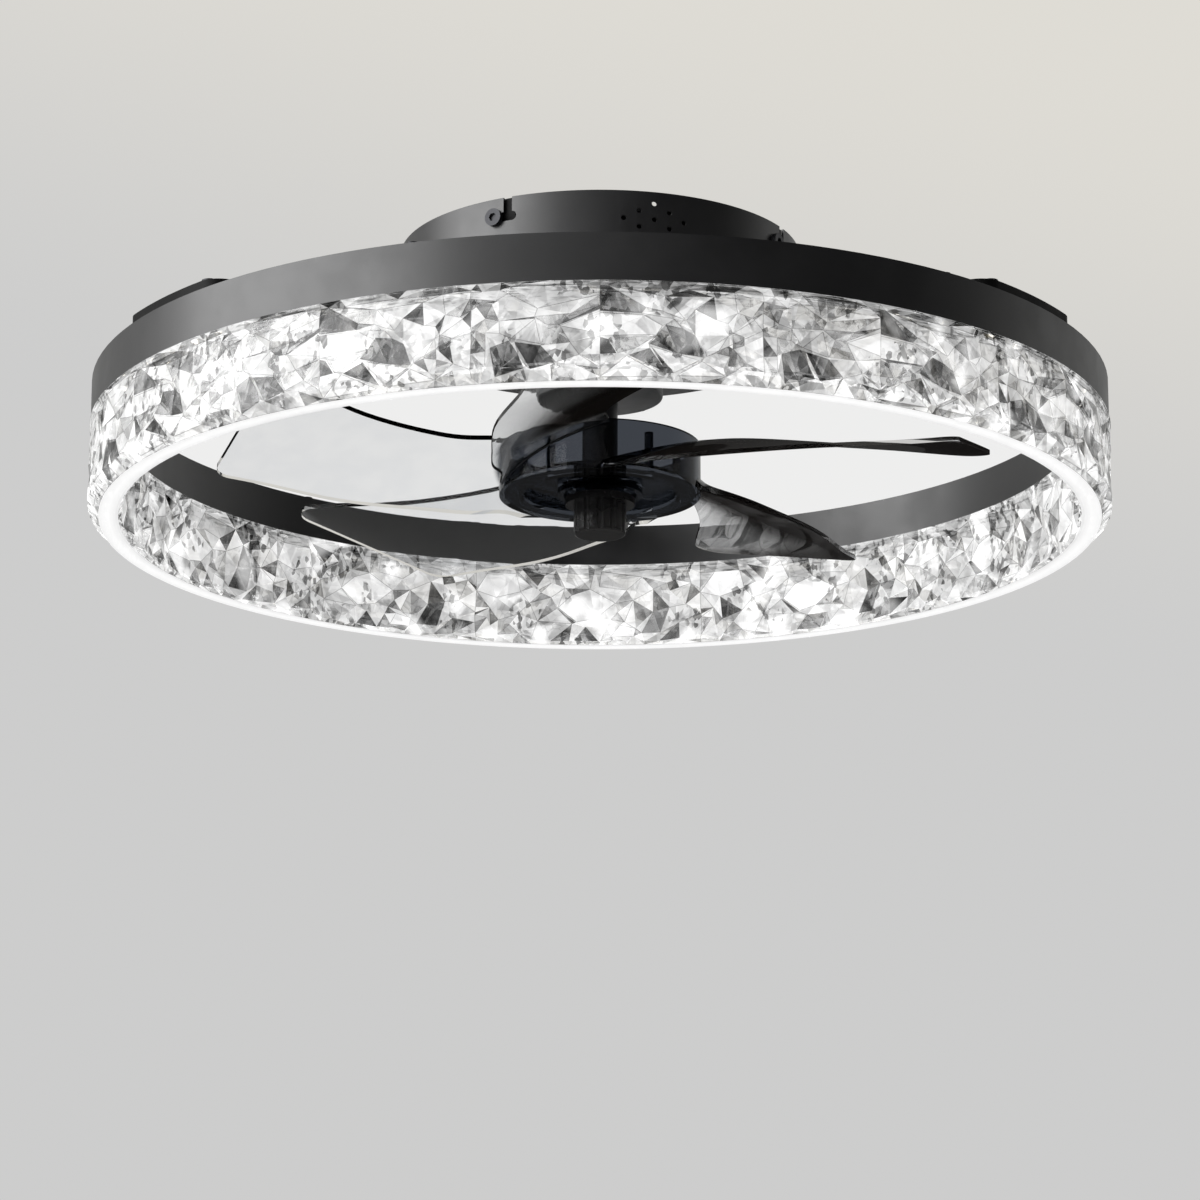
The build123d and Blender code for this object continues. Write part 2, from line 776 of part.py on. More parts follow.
# Rubber grommet where the ring lead leaves the canopy
grommet_flange = grommet_radius + canopy_wall
grommet_inside = math.sqrt((canopy_radius - canopy_wall) ** 2 - (ring_lead_x + grommet_flange) ** 2)
with BuildPart() as lead_grommet:
    with BuildSketch(Plane.XZ.offset(-canopy_radius - canopy_wall)) as outer_flange:
        with Locations((ring_lead_x, lead_level)):
            Circle(grommet_flange)
    extrude(outer_flange.sketch, amount=canopy_wall)
    with BuildSketch(Plane.XZ.offset(-canopy_radius)) as neck:
        with Locations((ring_lead_x, lead_level)):
            Circle(grommet_radius)
    extrude(neck.sketch, amount=canopy_radius - grommet_inside + screw_clearance)
    with BuildSketch(Plane.XZ.offset(-grommet_inside + screw_clearance)) as inner_flange:
        with Locations((ring_lead_x, lead_level)):
            Circle(grommet_flange)
    extrude(inner_flange.sketch, amount=canopy_wall)
    with BuildSketch(Plane.XZ.offset(-canopy_radius - canopy_wall)) as bore:
        with Locations((ring_lead_x, lead_level)):
            Circle(lead_radius + press_clearance)
    extrude(bore.sketch, amount=canopy_radius, mode=Mode.SUBTRACT)
save(lead_grommet.part, "lead_grommet")

# Clips that hold the ring lead on the rear arm
clip_places = [
    (arm_width / 2, radius, ring_top + arm_thickness)
    for radius in (arm_crank_radius + arm_crank_run * 2, ring_inner_radius - arm_width * 2)
]
with BuildPart() as clip:
    Box(clip_side, clip_depth, clip_height, align=(Align.MAX, Align.CENTER, Align.MIN))
    with BuildSketch(Plane.XZ.offset(-clip_depth)) as channel:
        with Locations((ring_lead_x - arm_width / 2, lead_radius + screw_clearance)):
            Circle(lead_radius + press_clearance)
    extrude(channel.sketch, amount=clip_depth * 2, mode=Mode.SUBTRACT)
save_group(clip.part, clip_places, "lead_clips")

# Arms: flat steel strips, cranked from the canopy floor down to the top of the ring
crank_drop = canopy_bottom - (ring_top + arm_thickness)
crank_shift = arm_thickness * math.tan(math.atan2(crank_drop, arm_crank_run) / 2)
crank_top = [
    (arm_inner_radius, canopy_bottom),
    (arm_crank_radius, canopy_bottom),
    (arm_crank_radius + arm_crank_run, ring_top + arm_thickness),
]
outer_bend = arm_bend_radius + arm_thickness


def build_arm(name, azimuth, reach, bolt_turns, footed):
    """One arm, with a wide foot on the ring where it is a front arm."""
    top_points = crank_top + [(reach, ring_top + arm_thickness)]
    low_points = [
        (arm_inner_radius, arm_pad_bottom),
        (arm_crank_radius - crank_shift, arm_pad_bottom),
        (arm_crank_radius + arm_crank_run - crank_shift, ring_top),
        (reach, ring_top),
    ]
    with BuildPart() as arm:
        with BuildSketch(arm_side(azimuth)) as strip:
            with BuildLine():
                FilletPolyline(*top_points, radius=[outer_bend, arm_bend_radius])
                FilletPolyline(*low_points, radius=[arm_bend_radius, outer_bend])
                Line(top_points[0], low_points[0])
                Line(top_points[-1], low_points[-1])
            make_face()
        extrude(strip.sketch, amount=arm_width / 2, both=True)
        if footed:
            foot = band(arm_reach, arm_reach - arm_foot_depth, azimuth, arm_foot_half_span, ring_top).face()
            outer_corners = foot.vertices().sort_by_distance((0, 0, ring_top))[-2:]
            extrude(foot.fillet_2d(arm_foot_corner, outer_corners), amount=arm_thickness)
        pad_points = [polar(radius, azimuth) for radius in (arm_bolt_inner_radius, arm_bolt_outer_radius)]
        pad_holes = holes(pad_points, arm_bolt_radius + screw_clearance, arm_pad_bottom)
        extrude(pad_holes, amount=arm_thickness, mode=Mode.SUBTRACT)
        foot_points = [polar(ring_fastener_radius, azimuth + turn) for turn in bolt_turns]
        foot_holes = holes(foot_points, ring_bolt_radius + screw_clearance, ring_top)
        extrude(foot_holes, amount=arm_thickness, mode=Mode.SUBTRACT)
    save(arm.part, name)


foot_middle_radius = arm_reach - arm_foot_depth / 2
for name in ("arm_left", "arm_right"):
    build_arm(name, arm_azimuths[name], foot_middle_radius, (-ring_bolt_turn, ring_bolt_turn), True)
build_arm("arm_rear", rear_arm_azimuth, arm_reach, (0,), False)

# Arm bolts from below, with their nuts on the chassis plate
arm_bolt_length = chassis_top - arm_pad_bottom + arm_nut_height + arm_bolt_end_rise
arm_bolt = screw(
    arm_bolt_radius,
    arm_bolt_length,
    arm_bolt_head_radius,
    arm_bolt_head_height,
    arm_bolt_radius,
    arm_bolt_head_height / 2,
)
arm_bolt_places = [downward((point.X, point.Y, arm_pad_bottom)) for point in arm_bolt_points]
save_group(arm_bolt, arm_bolt_places, "arm_bolts")
save_group(
    hex_nut(arm_nut_radius, arm_nut_height, arm_bolt_radius + press_clearance),
    [(point.X, point.Y, chassis_top) for point in arm_bolt_points],
    "arm_nuts",
)

# Ring frame: a rolled channel, open downwards
ring_hole_sets = [
    (ring_bolt_points, ring_bolt_radius + screw_clearance),
    (crystal_screw_points, small_screw_radius + screw_clearance),
    ([ring_lead_hole], lead_radius + cable_clearance),
]
with BuildPart() as ring_frame:
    extrude(annulus(ring_outer_radius, ring_inner_radius, ring_bottom), amount=ring_height)
    extrude(
        annulus(ring_outer_radius - ring_wall, ring_inner_radius + ring_wall, ring_bottom),
        amount=ring_height - ring_top_thickness,
        mode=Mode.SUBTRACT,
    )
    for points, radius in ring_hole_sets:
        extrude(holes(points, radius, ring_ceiling), amount=ring_top_thickness, mode=Mode.SUBTRACT)
save(ring_frame.part, "ring_frame")

# Ring bolts through the arms' feet, and the clinch nuts under the frame's top
ring_bolt_length = arm_thickness + ring_top_thickness + clinch_nut_height
ring_bolt = screw(
    ring_bolt_radius,
    ring_bolt_length,
    ring_bolt_head_radius,
    ring_bolt_head_height,
    ring_bolt_radius,
    ring_bolt_head_height / 2,
)
save_group(
    ring_bolt, [(point.X, point.Y, ring_top + arm_thickness) for point in ring_bolt_points], "ring_bolts"
)
with BuildPart() as clinch_nut:
    extrude(annulus(clinch_nut_radius, ring_bolt_radius + press_clearance, 0), amount=clinch_nut_height)
save_group(
    clinch_nut.part,
    [(point.X, point.Y, ring_ceiling - clinch_nut_height) for point in ring_bolt_points],
    "clinch_nuts",
)

# Crystal ring: a clear trough under the frame, with bosses that reach up to the frame's top
crystal_outer_bore = crystal_outer_radius - crystal_outer_wall
crystal_inner_bore = crystal_inner_radius + crystal_inner_wall
crystal_boss_radius_at = (crystal_outer_bore + crystal_inner_bore) / 2
crystal_boss_points = [
    polar(crystal_boss_radius_at, crystal_boss_azimuth + step * 360 / crystal_boss_count)
    for step in range(crystal_boss_count)
]
with BuildPart() as crystal_ring:
    extrude(annulus(crystal_outer_radius, crystal_inner_radius, crystal_bottom), amount=crystal_height)
    inner_edge, outer_edge = crystal_ring.edges().group_by(Axis.Z)[0].sort_by(SortBy.LENGTH)
    chamfer(outer_edge, length=crystal_outer_bevel)
    chamfer(inner_edge, length=crystal_inner_bevel)
    extrude(
        annulus(crystal_outer_bore, crystal_inner_bore, crystal_bottom + crystal_floor),
        amount=crystal_height,
        mode=Mode.SUBTRACT,
    )
    extrude(
        holes(crystal_boss_points, crystal_boss_radius, ring_bottom - crystal_boss_depth),
        amount=ring_ceiling - ring_bottom + crystal_boss_depth,
    )
    crystal_screw_bottom = ring_ceiling - crystal_screw_length
    extrude(
        holes(crystal_screw_points, small_screw_radius + screw_clearance, crystal_screw_bottom),
        amount=crystal_screw_length,
        mode=Mode.SUBTRACT,
    )
save(crystal_ring.part, "crystal_ring")

crystal_screw = screw(
    small_screw_radius, crystal_screw_length, small_screw_head_radius, small_screw_head_height
)
save_group(crystal_screw, [(point.X, point.Y, ring_top) for point in crystal_screw_points], "crystal_screws")

# Light boards: six curved boards on posts under the frame's top, with the chips facing down
led_board_outer = ring_outer_radius - ring_wall - led_board_side_clearance
led_board_inner = ring_inner_radius + ring_wall + led_board_side_clearance
led_board_azimuths = [led_board_azimuth + step * 360 / led_board_count for step in range(led_board_count)]
with BuildPart() as led_posts:
    extrude(holes(led_post_points, led_post_radius, led_board_top), amount=led_post_height)
    extrude(
        holes(led_post_points, led_screw_radius + press_clearance, led_board_top),
        amount=led_post_height - cut_overrun,
        mode=Mode.SUBTRACT,
    )
save(led_posts.part, "led_posts")

with BuildPart() as led_boards:
    for azimuth in led_board_azimuths:
        board = band(led_board_outer, led_board_inner, azimuth, led_board_half_span, led_board_bottom)
        extrude(board, amount=led_board_thickness)
    extrude(
        holes(led_post_points, led_screw_radius + screw_clearance, led_board_bottom),
        amount=led_board_thickness,
        mode=Mode.SUBTRACT,
    )
save(led_boards.part, "led_boards")

with BuildPart() as led_chips:
    with BuildSketch(Plane.XY.offset(led_board_bottom - led_chip_height)):
        for azimuth in led_board_azimuths:
            first_chip = azimuth - led_chip_turn * (led_chip_count - 1) / 2
            with PolarLocations(
                ring_fastener_radius,
                led_chip_count,
                start_angle=first_chip,
                angular_range=led_chip_turn * (led_chip_count - 1),
                endpoint=True,
            ):
                Rectangle(led_chip_side, led_chip_side)
    extrude(amount=led_chip_height)
save(led_chips.part, "led_chips")

led_screw = screw(led_screw_radius, led_screw_length, led_screw_head_radius, led_screw_head_height)
led_screw_places = [downward((point.X, point.Y, led_board_bottom)) for point in led_post_points]
save_group(led_screw, led_screw_places, "led_screws")

# Motor housing: a cup screwed under the canopy floor, with the upper bearing's seat inside
bearing_bore = bearing_outer_radius + press_clearance
cap_screw_points = [
    polar(motor_radius - motor_wall / 2, cap_screw_turn + step * 360 / cap_screw_count)
    for step in range(cap_screw_count)
]
with BuildPart() as motor_housing:
    extrude(disc(motor_radius, motor_cap_top), amount=motor_top - motor_cap_top)
    extrude(disc(motor_bore, motor_cap_top), amount=motor_ceiling - motor_cap_top, mode=Mode.SUBTRACT)
    extrude(
        annulus(bearing_bore + bearing_boss_wall, bearing_bore, upper_bearing_bottom), amount=bearing_width
    )
    extrude(
        holes(motor_screw_points, motor_screw_radius + screw_clearance, motor_ceiling),
        amount=motor_top_thickness,
        mode=Mode.SUBTRACT,
    )
    extrude(
        holes([motor_lead_point], lead_radius + cable_clearance, motor_ceiling),
        amount=motor_top_thickness,
        mode=Mode.SUBTRACT,
    )
    extrude(
        holes(cap_screw_points, cap_screw_radius + screw_clearance, motor_cap_top),
        amount=cap_screw_length - motor_cap_thickness,
        mode=Mode.SUBTRACT,
    )
save(motor_housing.part, "motor_housing")

# Motor end cap, with the lower bearing's seat and the opening for the shaft
with BuildPart() as motor_end_cap:
    extrude(disc(motor_radius, motor_bottom), amount=motor_cap_thickness)
    fillet(motor_end_cap.faces().sort_by(Axis.Z)[0].edges(), radius=motor_cap_lip)
    extrude(disc(bearing_bore, lower_bearing_bottom), amount=motor_cap_thickness, mode=Mode.SUBTRACT)
    extrude(
        disc(shaft_radius + motor_cap_bore_clearance, motor_bottom), amount=motor_cap_lip, mode=Mode.SUBTRACT
    )
    extrude(
        holes(cap_screw_points, cap_screw_radius + screw_clearance, motor_bottom),
        amount=motor_cap_thickness,
        mode=Mode.SUBTRACT,
    )
    extrude(
        holes(cap_screw_points, cap_screw_head_radius + screw_clearance, motor_bottom),
        amount=cap_screw_head_height + screw_clearance,
        mode=Mode.SUBTRACT,
    )
save(motor_end_cap.part, "motor_end_cap")

cap_screw_seat = motor_bottom + cap_screw_head_height + screw_clearance
cap_screw = screw(
    cap_screw_radius,
    cap_screw_length - cap_screw_head_height * 2,
    cap_screw_head_radius,
    cap_screw_head_height,
)
cap_screw_places = [downward((point.X, point.Y, cap_screw_seat)) for point in cap_screw_points]
save_group(cap_screw, cap_screw_places, "end_cap_screws")

# Screws that hold the motor housing, driven from inside the canopy
motor_screw = screw(
    motor_screw_radius,
    chassis_top - motor_ceiling,
    motor_screw_head_radius,
    motor_screw_head_height,
    motor_screw_radius,
    motor_screw_head_height / 2,
)
save_group(motor_screw, [(point.X, point.Y, chassis_top) for point in motor_screw_points], "motor_screws")

# Stator core: a toothed ring in the housing
stator_outer = motor_bore - press_clearance
yoke_inner = stator_outer - stator_yoke
tooth_azimuths = [step * 360 / stator_teeth for step in range(stator_teeth)]
with BuildPart() as stator_core:
    with BuildSketch(Plane.XY.offset(stator_bottom)):
        Circle(stator_outer)
        Circle(yoke_inner, mode=Mode.SUBTRACT)
        with PolarLocations(0, stator_teeth):
            with Locations((yoke_inner + stator_yoke / 2, 0)):
                Rectangle(
                    yoke_inner + stator_yoke / 2 - stator_inner_radius,
                    tooth_width,
                    align=(Align.MAX, Align.CENTER),
                )
            with Locations((stator_inner_radius, 0)):
                Rectangle(tooth_tip_depth, tooth_tip_width, align=(Align.MIN, Align.CENTER))
        Circle(stator_inner_radius, mode=Mode.SUBTRACT)
    extrude(amount=stator_height)
save(stator_core.part, "stator_core")

# Stator windings: one coil round each tooth
coil_start = stator_inner_radius + tooth_tip_depth + coil_inset
coil_end = math.sqrt((yoke_inner - coil_inset) ** 2 - (tooth_width / 2 + coil_gap + coil_thickness) ** 2)
coil_bottom = stator_bottom - coil_gap
coil_inner_height = stator_height + coil_gap * 2
with BuildPart() as stator_windings:
    for azimuth in tooth_azimuths:
        with BuildSketch(outward(coil_start, azimuth, coil_bottom + coil_inner_height / 2)) as coil_outline:
            RectangleRounded(
                tooth_width + (coil_gap + coil_thickness) * 2,
                coil_inner_height + coil_overhang * 2,
                coil_thickness,
            )
            Rectangle(tooth_width + coil_gap * 2, coil_inner_height, mode=Mode.SUBTRACT)
        extrude(coil_outline.sketch, amount=coil_end - coil_start)
save(stator_windings.part, "stator_windings")

# Bearings: outer rings in their seats, inner rings on the shaft, balls between them
ball_ring_radius = (bearing_outer_radius + shaft_radius) / 2
bearing_middles = [
    upper_bearing_bottom + bearing_width / 2,
    lower_bearing_bottom + bearing_width / 2,
]
inner_ring_bore = shaft_radius + press_clearance


def bearing_ring(outer, inner):
    """One ring of a ball bearing, centred on its own middle, with the balls' groove cut in it."""
    with BuildPart() as piece:
        extrude(annulus(outer, inner, -bearing_width / 2), amount=bearing_width)
        with BuildSketch(Plane.XZ) as groove:
            with Locations((ball_ring_radius, 0)):
                Circle(bearing_ball_radius + bearing_ball_clearance)
        revolve(groove.sketch, axis=Axis.Z, mode=Mode.SUBTRACT)
    return piece.part


bearing_places = [(0, 0, middle) for middle in bearing_middles]
save_group(
    bearing_ring(bearing_outer_radius, bearing_outer_radius - bearing_race),
    bearing_places,
    "bearing_outer_rings",
)
save_group(
    bearing_ring(inner_ring_bore + bearing_race, inner_ring_bore), bearing_places, "bearing_inner_rings"
)
with BuildPart() as bearing_balls:
    for middle in bearing_middles:
        with Locations((0, 0, middle)):
            with PolarLocations(ball_ring_radius, bearing_ball_count):
                Sphere(bearing_ball_radius)
save(bearing_balls.part, "bearing_balls")

# Motor shaft, which carries the rotor, the drive sleeve and the blade wheel
with BuildPart() as motor_shaft:
    extrude(disc(shaft_radius, shaft_bottom), amount=shaft_top - shaft_bottom)
    with BuildSketch(Plane.YZ.offset(-shaft_radius - cut_overrun)) as cross_hole:
        with Locations((0, drive_pin_height)):
            Circle(drive_pin_radius + press_clearance)
    extrude(cross_hole.sketch, amount=(shaft_radius + cut_overrun) * 2, mode=Mode.SUBTRACT)
save(motor_shaft.part, "motor_shaft")

# Rotor core and its magnets
with BuildPart() as rotor_core:
    extrude(annulus(rotor_core_radius, inner_ring_bore, rotor_bottom), amount=rotor_core_height)
    extrude(
        annulus(inner_ring_bore + bearing_race, inner_ring_bore, lower_bearing_top),
        amount=rotor_bottom - lower_bearing_top,
    )
    extrude(
        annulus(inner_ring_bore + bearing_race, inner_ring_bore, rotor_top),
        amount=upper_bearing_bottom - rotor_top,
    )
save(rotor_core.part, "rotor_core")

magnet_radius = rotor_core_radius + magnet_thickness
with BuildPart() as rotor_magnets:
    for step in range(magnet_count):
        magnet_azimuth = step * 360 / magnet_count
        magnet = band(magnet_radius, rotor_core_radius, magnet_azimuth, magnet_half_span, rotor_bottom)
        extrude(magnet, amount=rotor_core_height)
save(rotor_magnets.part, "rotor_magnets")

# Drive sleeve on the shaft, and the cross pin that turns the wheel
with BuildPart() as drive_sleeve:
    extrude(annulus(sleeve_radius, shaft_radius + press_clearance, web_top), amount=sleeve_top - web_top)
    with BuildSketch(Plane.YZ.offset(-sleeve_radius - cut_overrun)) as sleeve_hole:
        with Locations((0, drive_pin_height)):
            Circle(drive_pin_radius + press_clearance)
    extrude(sleeve_hole.sketch, amount=(sleeve_radius + cut_overrun) * 2, mode=Mode.SUBTRACT)
save(drive_sleeve.part, "drive_sleeve")

with BuildPart() as drive_pin:
    with BuildSketch(Plane.YZ.offset(-drive_pin_length / 2)) as pin_end:
        with Locations((0, drive_pin_height)):
            Circle(drive_pin_radius)
    extrude(pin_end.sketch, amount=drive_pin_length)
save(drive_pin.part, "drive_pin")


# Blade: a swept sheet that falls from its high edge to its low edge, cut to its plan outline
blade_span = blade_tip_radius - drum_radius


def extended(values):
    """Carries a table of values along the blade a little past both its ends."""
    inner_slope = (values[1] - values[0]) / (blade_radius_shares[1] - blade_radius_shares[0])
    outer_slope = (values[-1] - values[-2]) / (blade_radius_shares[-1] - blade_radius_shares[-2])
    start = values[0] + inner_slope * (blade_sheet_start_share - blade_radius_shares[0])
    end = values[-1] + outer_slope * (blade_sheet_end_share - blade_radius_shares[-1])
    return [start] + values + [end]


sheet_radius_shares = extended(blade_radius_shares)
sheet_rows = list(
    zip(
        sheet_radius_shares,
        extended(high_edge_turns),
        extended(low_edge_turns),
        extended(high_edge_drop_shares),
        extended(low_edge_drop_shares),
    )
)


def sheet_point(row, chord_share):
    """A point of the blade's middle sheet, a share of the way from the high edge to the low edge."""
    radius_share, high_turn, low_turn, high_drop, low_drop = row
    turn = high_turn + (low_turn - high_turn) * chord_share
    drop = high_drop + (low_drop - high_drop) * chord_share
    return polar(drum_radius + blade_span * radius_share, turn, drum_top - drum_height * drop)


def edge_points(turns, tip_setback):
    """The plan points of one blade edge, from inside the drum wall to the tip."""
    root_radius = drum_radius + blade_span * blade_root_share
    reach = blade_span - tip_setback
    points = [polar(root_radius, turns[0])]
    for share, turn in zip(blade_radius_shares, turns):
        points.append(polar(drum_radius + reach * share, turn))
    return points


sheet_grid = [[sheet_point(row, share) for share in chord_sheet_shares] for row in sheet_rows]
blade_sheet = Face.make_surface_from_array_of_points(sheet_grid)
high_points = edge_points(high_edge_turns, 0)
low_points = edge_points(low_edge_turns, blade_tip_setback)
with BuildSketch(Plane.XY.offset(drum_bottom - drum_height)) as blade_outline:
    with BuildLine():
        high_edge = Spline(*high_points)
        low_edge = Spline(*low_points)
        Line(high_edge @ 1, low_edge @ 1)
        Line(high_edge @ 0, low_edge @ 0)
    make_face()
    fillet(blade_outline.vertices().sort_by_distance((0, 0, 0))[-2:], radius=blade_tip_corner)
with BuildPart() as blade:
    thicken(blade_sheet, amount=blade_thickness / 2, both=True)
    extrude(blade_outline.sketch, amount=drum_height * 3, mode=Mode.INTERSECT)

# Blade wheel: the drum, its hub and the blades, moulded in one piece
wheel_inside = section(
    (0, drum_top + drum_height),
    (drum_bore, drum_top + drum_height),
    (drum_bore, rim_top),
    (rim_inner_radius + drum_web_thickness, rim_top),
    (rim_inner_radius + drum_web_thickness, web_top),
    (0, web_top),
)
wheel_post_points = [
    polar(wheel_post_ring_radius, wheel_post_azimuth + step * 360 / blade_count)
    for step in range(blade_count)
]
with BuildPart() as blade_wheel:
    extrude(disc(drum_radius, drum_bottom), amount=drum_height)
    with PolarLocations(0, blade_count, start_angle=blade_azimuth):
        add(blade.part)
    revolve(wheel_inside, axis=Axis.Z, mode=Mode.SUBTRACT)
    extrude(
        annulus(rim_inner_radius, hub_ring_outer_radius, drum_bottom),
        amount=drum_recess_depth,
        mode=Mode.SUBTRACT,
    )
    extrude(
        annulus(hub_ring_outer_radius - hub_ring_width, hub_boss_radius, drum_bottom),
        amount=drum_recess_depth,
        mode=Mode.SUBTRACT,
    )
    extrude(annulus(drive_boss_radius, sleeve_radius + screw_clearance, web_top), amount=drive_boss_height)
    with BuildSketch(Plane.YZ.offset(-drum_bore / 2)) as pin_slot:
        with Locations((0, web_top + drive_boss_height)):
            Rectangle(
                (drive_pin_radius + screw_clearance) * 2,
                drive_boss_height - drive_pin_rise + drive_pin_radius + screw_clearance,
                align=(Align.CENTER, Align.MAX),
            )
    extrude(pin_slot.sketch, amount=drum_bore, mode=Mode.SUBTRACT)
    extrude(holes(wheel_post_points, wheel_post_radius, rim_top), amount=wheel_post_height)
    extrude(
        disc(shaft_radius + screw_clearance, drum_bottom), amount=web_top - drum_bottom, mode=Mode.SUBTRACT
    )
save(blade_wheel.part, "blade_wheel")

# Washer and fluted lock nut under the wheel
with BuildPart() as clamp_washer:
    extrude(
        annulus(clamp_washer_radius, shaft_radius + screw_clearance, washer_bottom),
        amount=clamp_washer_thickness,
    )
save(clamp_washer.part, "clamp_washer")

with BuildPart() as lock_nut:
    extrude(disc(nut_radius, nut_bottom), amount=nut_height)
    fillet(lock_nut.faces().sort_by(Axis.Z)[0].edges(), radius=nut_edge_radius)
    with BuildSketch(Plane.XY.offset(nut_bottom)) as flutes:
        with PolarLocations(nut_radius + nut_flute_radius - nut_flute_depth, nut_flute_count):
            Circle(nut_flute_radius)
    extrude(flutes.sketch, amount=nut_height - nut_flange_thickness, mode=Mode.SUBTRACT)
    extrude(disc(nut_flange_radius, washer_bottom - nut_flange_thickness), amount=nut_flange_thickness)
    extrude(
        disc(shaft_radius + press_clearance, nut_bottom + nut_cap_thickness),
        amount=nut_height - nut_cap_thickness,
        mode=Mode.SUBTRACT,
    )
save(lock_nut.part, "lock_nut")
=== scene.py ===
"""The looks of a chandelier ceiling fan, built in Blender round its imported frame.

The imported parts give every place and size. This script dresses them with procedural finishes, builds
the faceted crystal ring as a finer surface, and sets up a plain pale studio with a camera that looks
up at the fan from the front.
"""
from __future__ import annotations

import logging
import math
from dataclasses import dataclass
from enum import Enum

import bmesh
import bpy
import numpy as np
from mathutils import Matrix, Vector
from mathutils.geometry import delaunay_2d_cdt


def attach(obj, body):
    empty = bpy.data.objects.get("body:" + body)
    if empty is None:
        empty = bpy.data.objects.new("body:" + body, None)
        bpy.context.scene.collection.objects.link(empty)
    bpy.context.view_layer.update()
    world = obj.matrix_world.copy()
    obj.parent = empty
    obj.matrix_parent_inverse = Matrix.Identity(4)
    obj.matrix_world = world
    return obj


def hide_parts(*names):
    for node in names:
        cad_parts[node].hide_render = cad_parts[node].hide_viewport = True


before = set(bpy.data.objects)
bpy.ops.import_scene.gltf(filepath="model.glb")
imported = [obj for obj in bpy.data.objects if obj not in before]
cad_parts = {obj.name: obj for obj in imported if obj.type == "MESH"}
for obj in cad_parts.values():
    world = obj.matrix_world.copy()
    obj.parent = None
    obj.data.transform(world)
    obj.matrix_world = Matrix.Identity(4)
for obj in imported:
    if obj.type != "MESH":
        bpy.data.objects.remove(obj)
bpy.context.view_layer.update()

log = logging.getLogger("chandelier_fan")

MM = 0.001
JOIN_DISTANCE = 2e-6
SHORTEST = 1e-6
TURN = 2 * math.pi
MARGIN = 1e-4
FAR_EDGE = 100.0
MAP_SHIFT = 400.0
MIX_SOCKETS = (0, 6, 7)
Triple = tuple[float, float, float]
Colour = Triple
Point = tuple[float, float]
Range = tuple[float, float]
Chain = tuple[Point, ...]
Socket = bpy.types.NodeSocket
Array = np.ndarray
Part = dict[str, Array]


def polar(radius: Array, azimuth: Array, height: Array) -> Array:
    """Turns cylinder coordinates into points: x is radius times cosine, y is radius times sine.

    Args:
        radius: distances from the fan's axis, in millimetres.
        azimuth: angles round the axis, in radians.
        height: heights, in millimetres, with the ceiling at zero.

    Returns:
        Points in metres, in an array with three columns.
    """
    radius, azimuth, height = np.broadcast_arrays(radius, azimuth, height)
    points = np.stack([radius * np.cos(azimuth), radius * np.sin(azimuth), height], axis=-1)
    return points.reshape(-1, 3) * MM


def grid_faces(rows: int, columns: int) -> Array:
    """Numbers the corners of the quads of a grid whose points run row by row, and whose rows are closed.

    Args:
        rows: points along the first parameter.
        columns: points along the second parameter.

    Returns:
        Corner numbers, four to a quad.
    """
    row = np.arange(rows - 1)[:, None]
    column = np.arange(columns)[None, :]
    after = (column + 1) % columns
    corners = [row * columns + column, row * columns + after,
               (row + 1) * columns + after, (row + 1) * columns + column]
    return np.stack(np.broadcast_arrays(*corners), axis=-1).reshape(-1, 4)


def make_mesh(name: str, points: Array, faces: list[list[int]]) -> bpy.types.Object:
    """Puts worked-out points and flat faces into a new object at the origin.

    Args:
        name: the object's name.
        points: points in metres.
        faces: corner numbers of each face.

    Returns:
        The new object, linked to the scene.
    """
    mesh = bpy.data.meshes.new(name)
    mesh.from_pydata(points.tolist(), [], faces)
    mesh.shade_flat()
    mesh.update()
    piece = bpy.data.objects.new(name, mesh)
    bpy.context.scene.collection.objects.link(piece)
    return piece


def close_shell(piece: bpy.types.Object) -> None:
    """Joins points that lie together, drops empty faces and turns every face outwards.

    Args:
        piece: an object whose mesh is made of closed shells.
    """
    shell = bmesh.new()
    shell.from_mesh(piece.data)
    bmesh.ops.remove_doubles(shell, verts=shell.verts, dist=JOIN_DISTANCE)
    bmesh.ops.dissolve_degenerate(shell, edges=shell.edges, dist=JOIN_DISTANCE)
    bmesh.ops.recalc_face_normals(shell, faces=shell.faces)
    log.info("%s: %d open edges", piece.name, sum(1 for edge in shell.edges if len(edge.link_faces) != 2))
    shell.to_mesh(piece.data)
    shell.free()


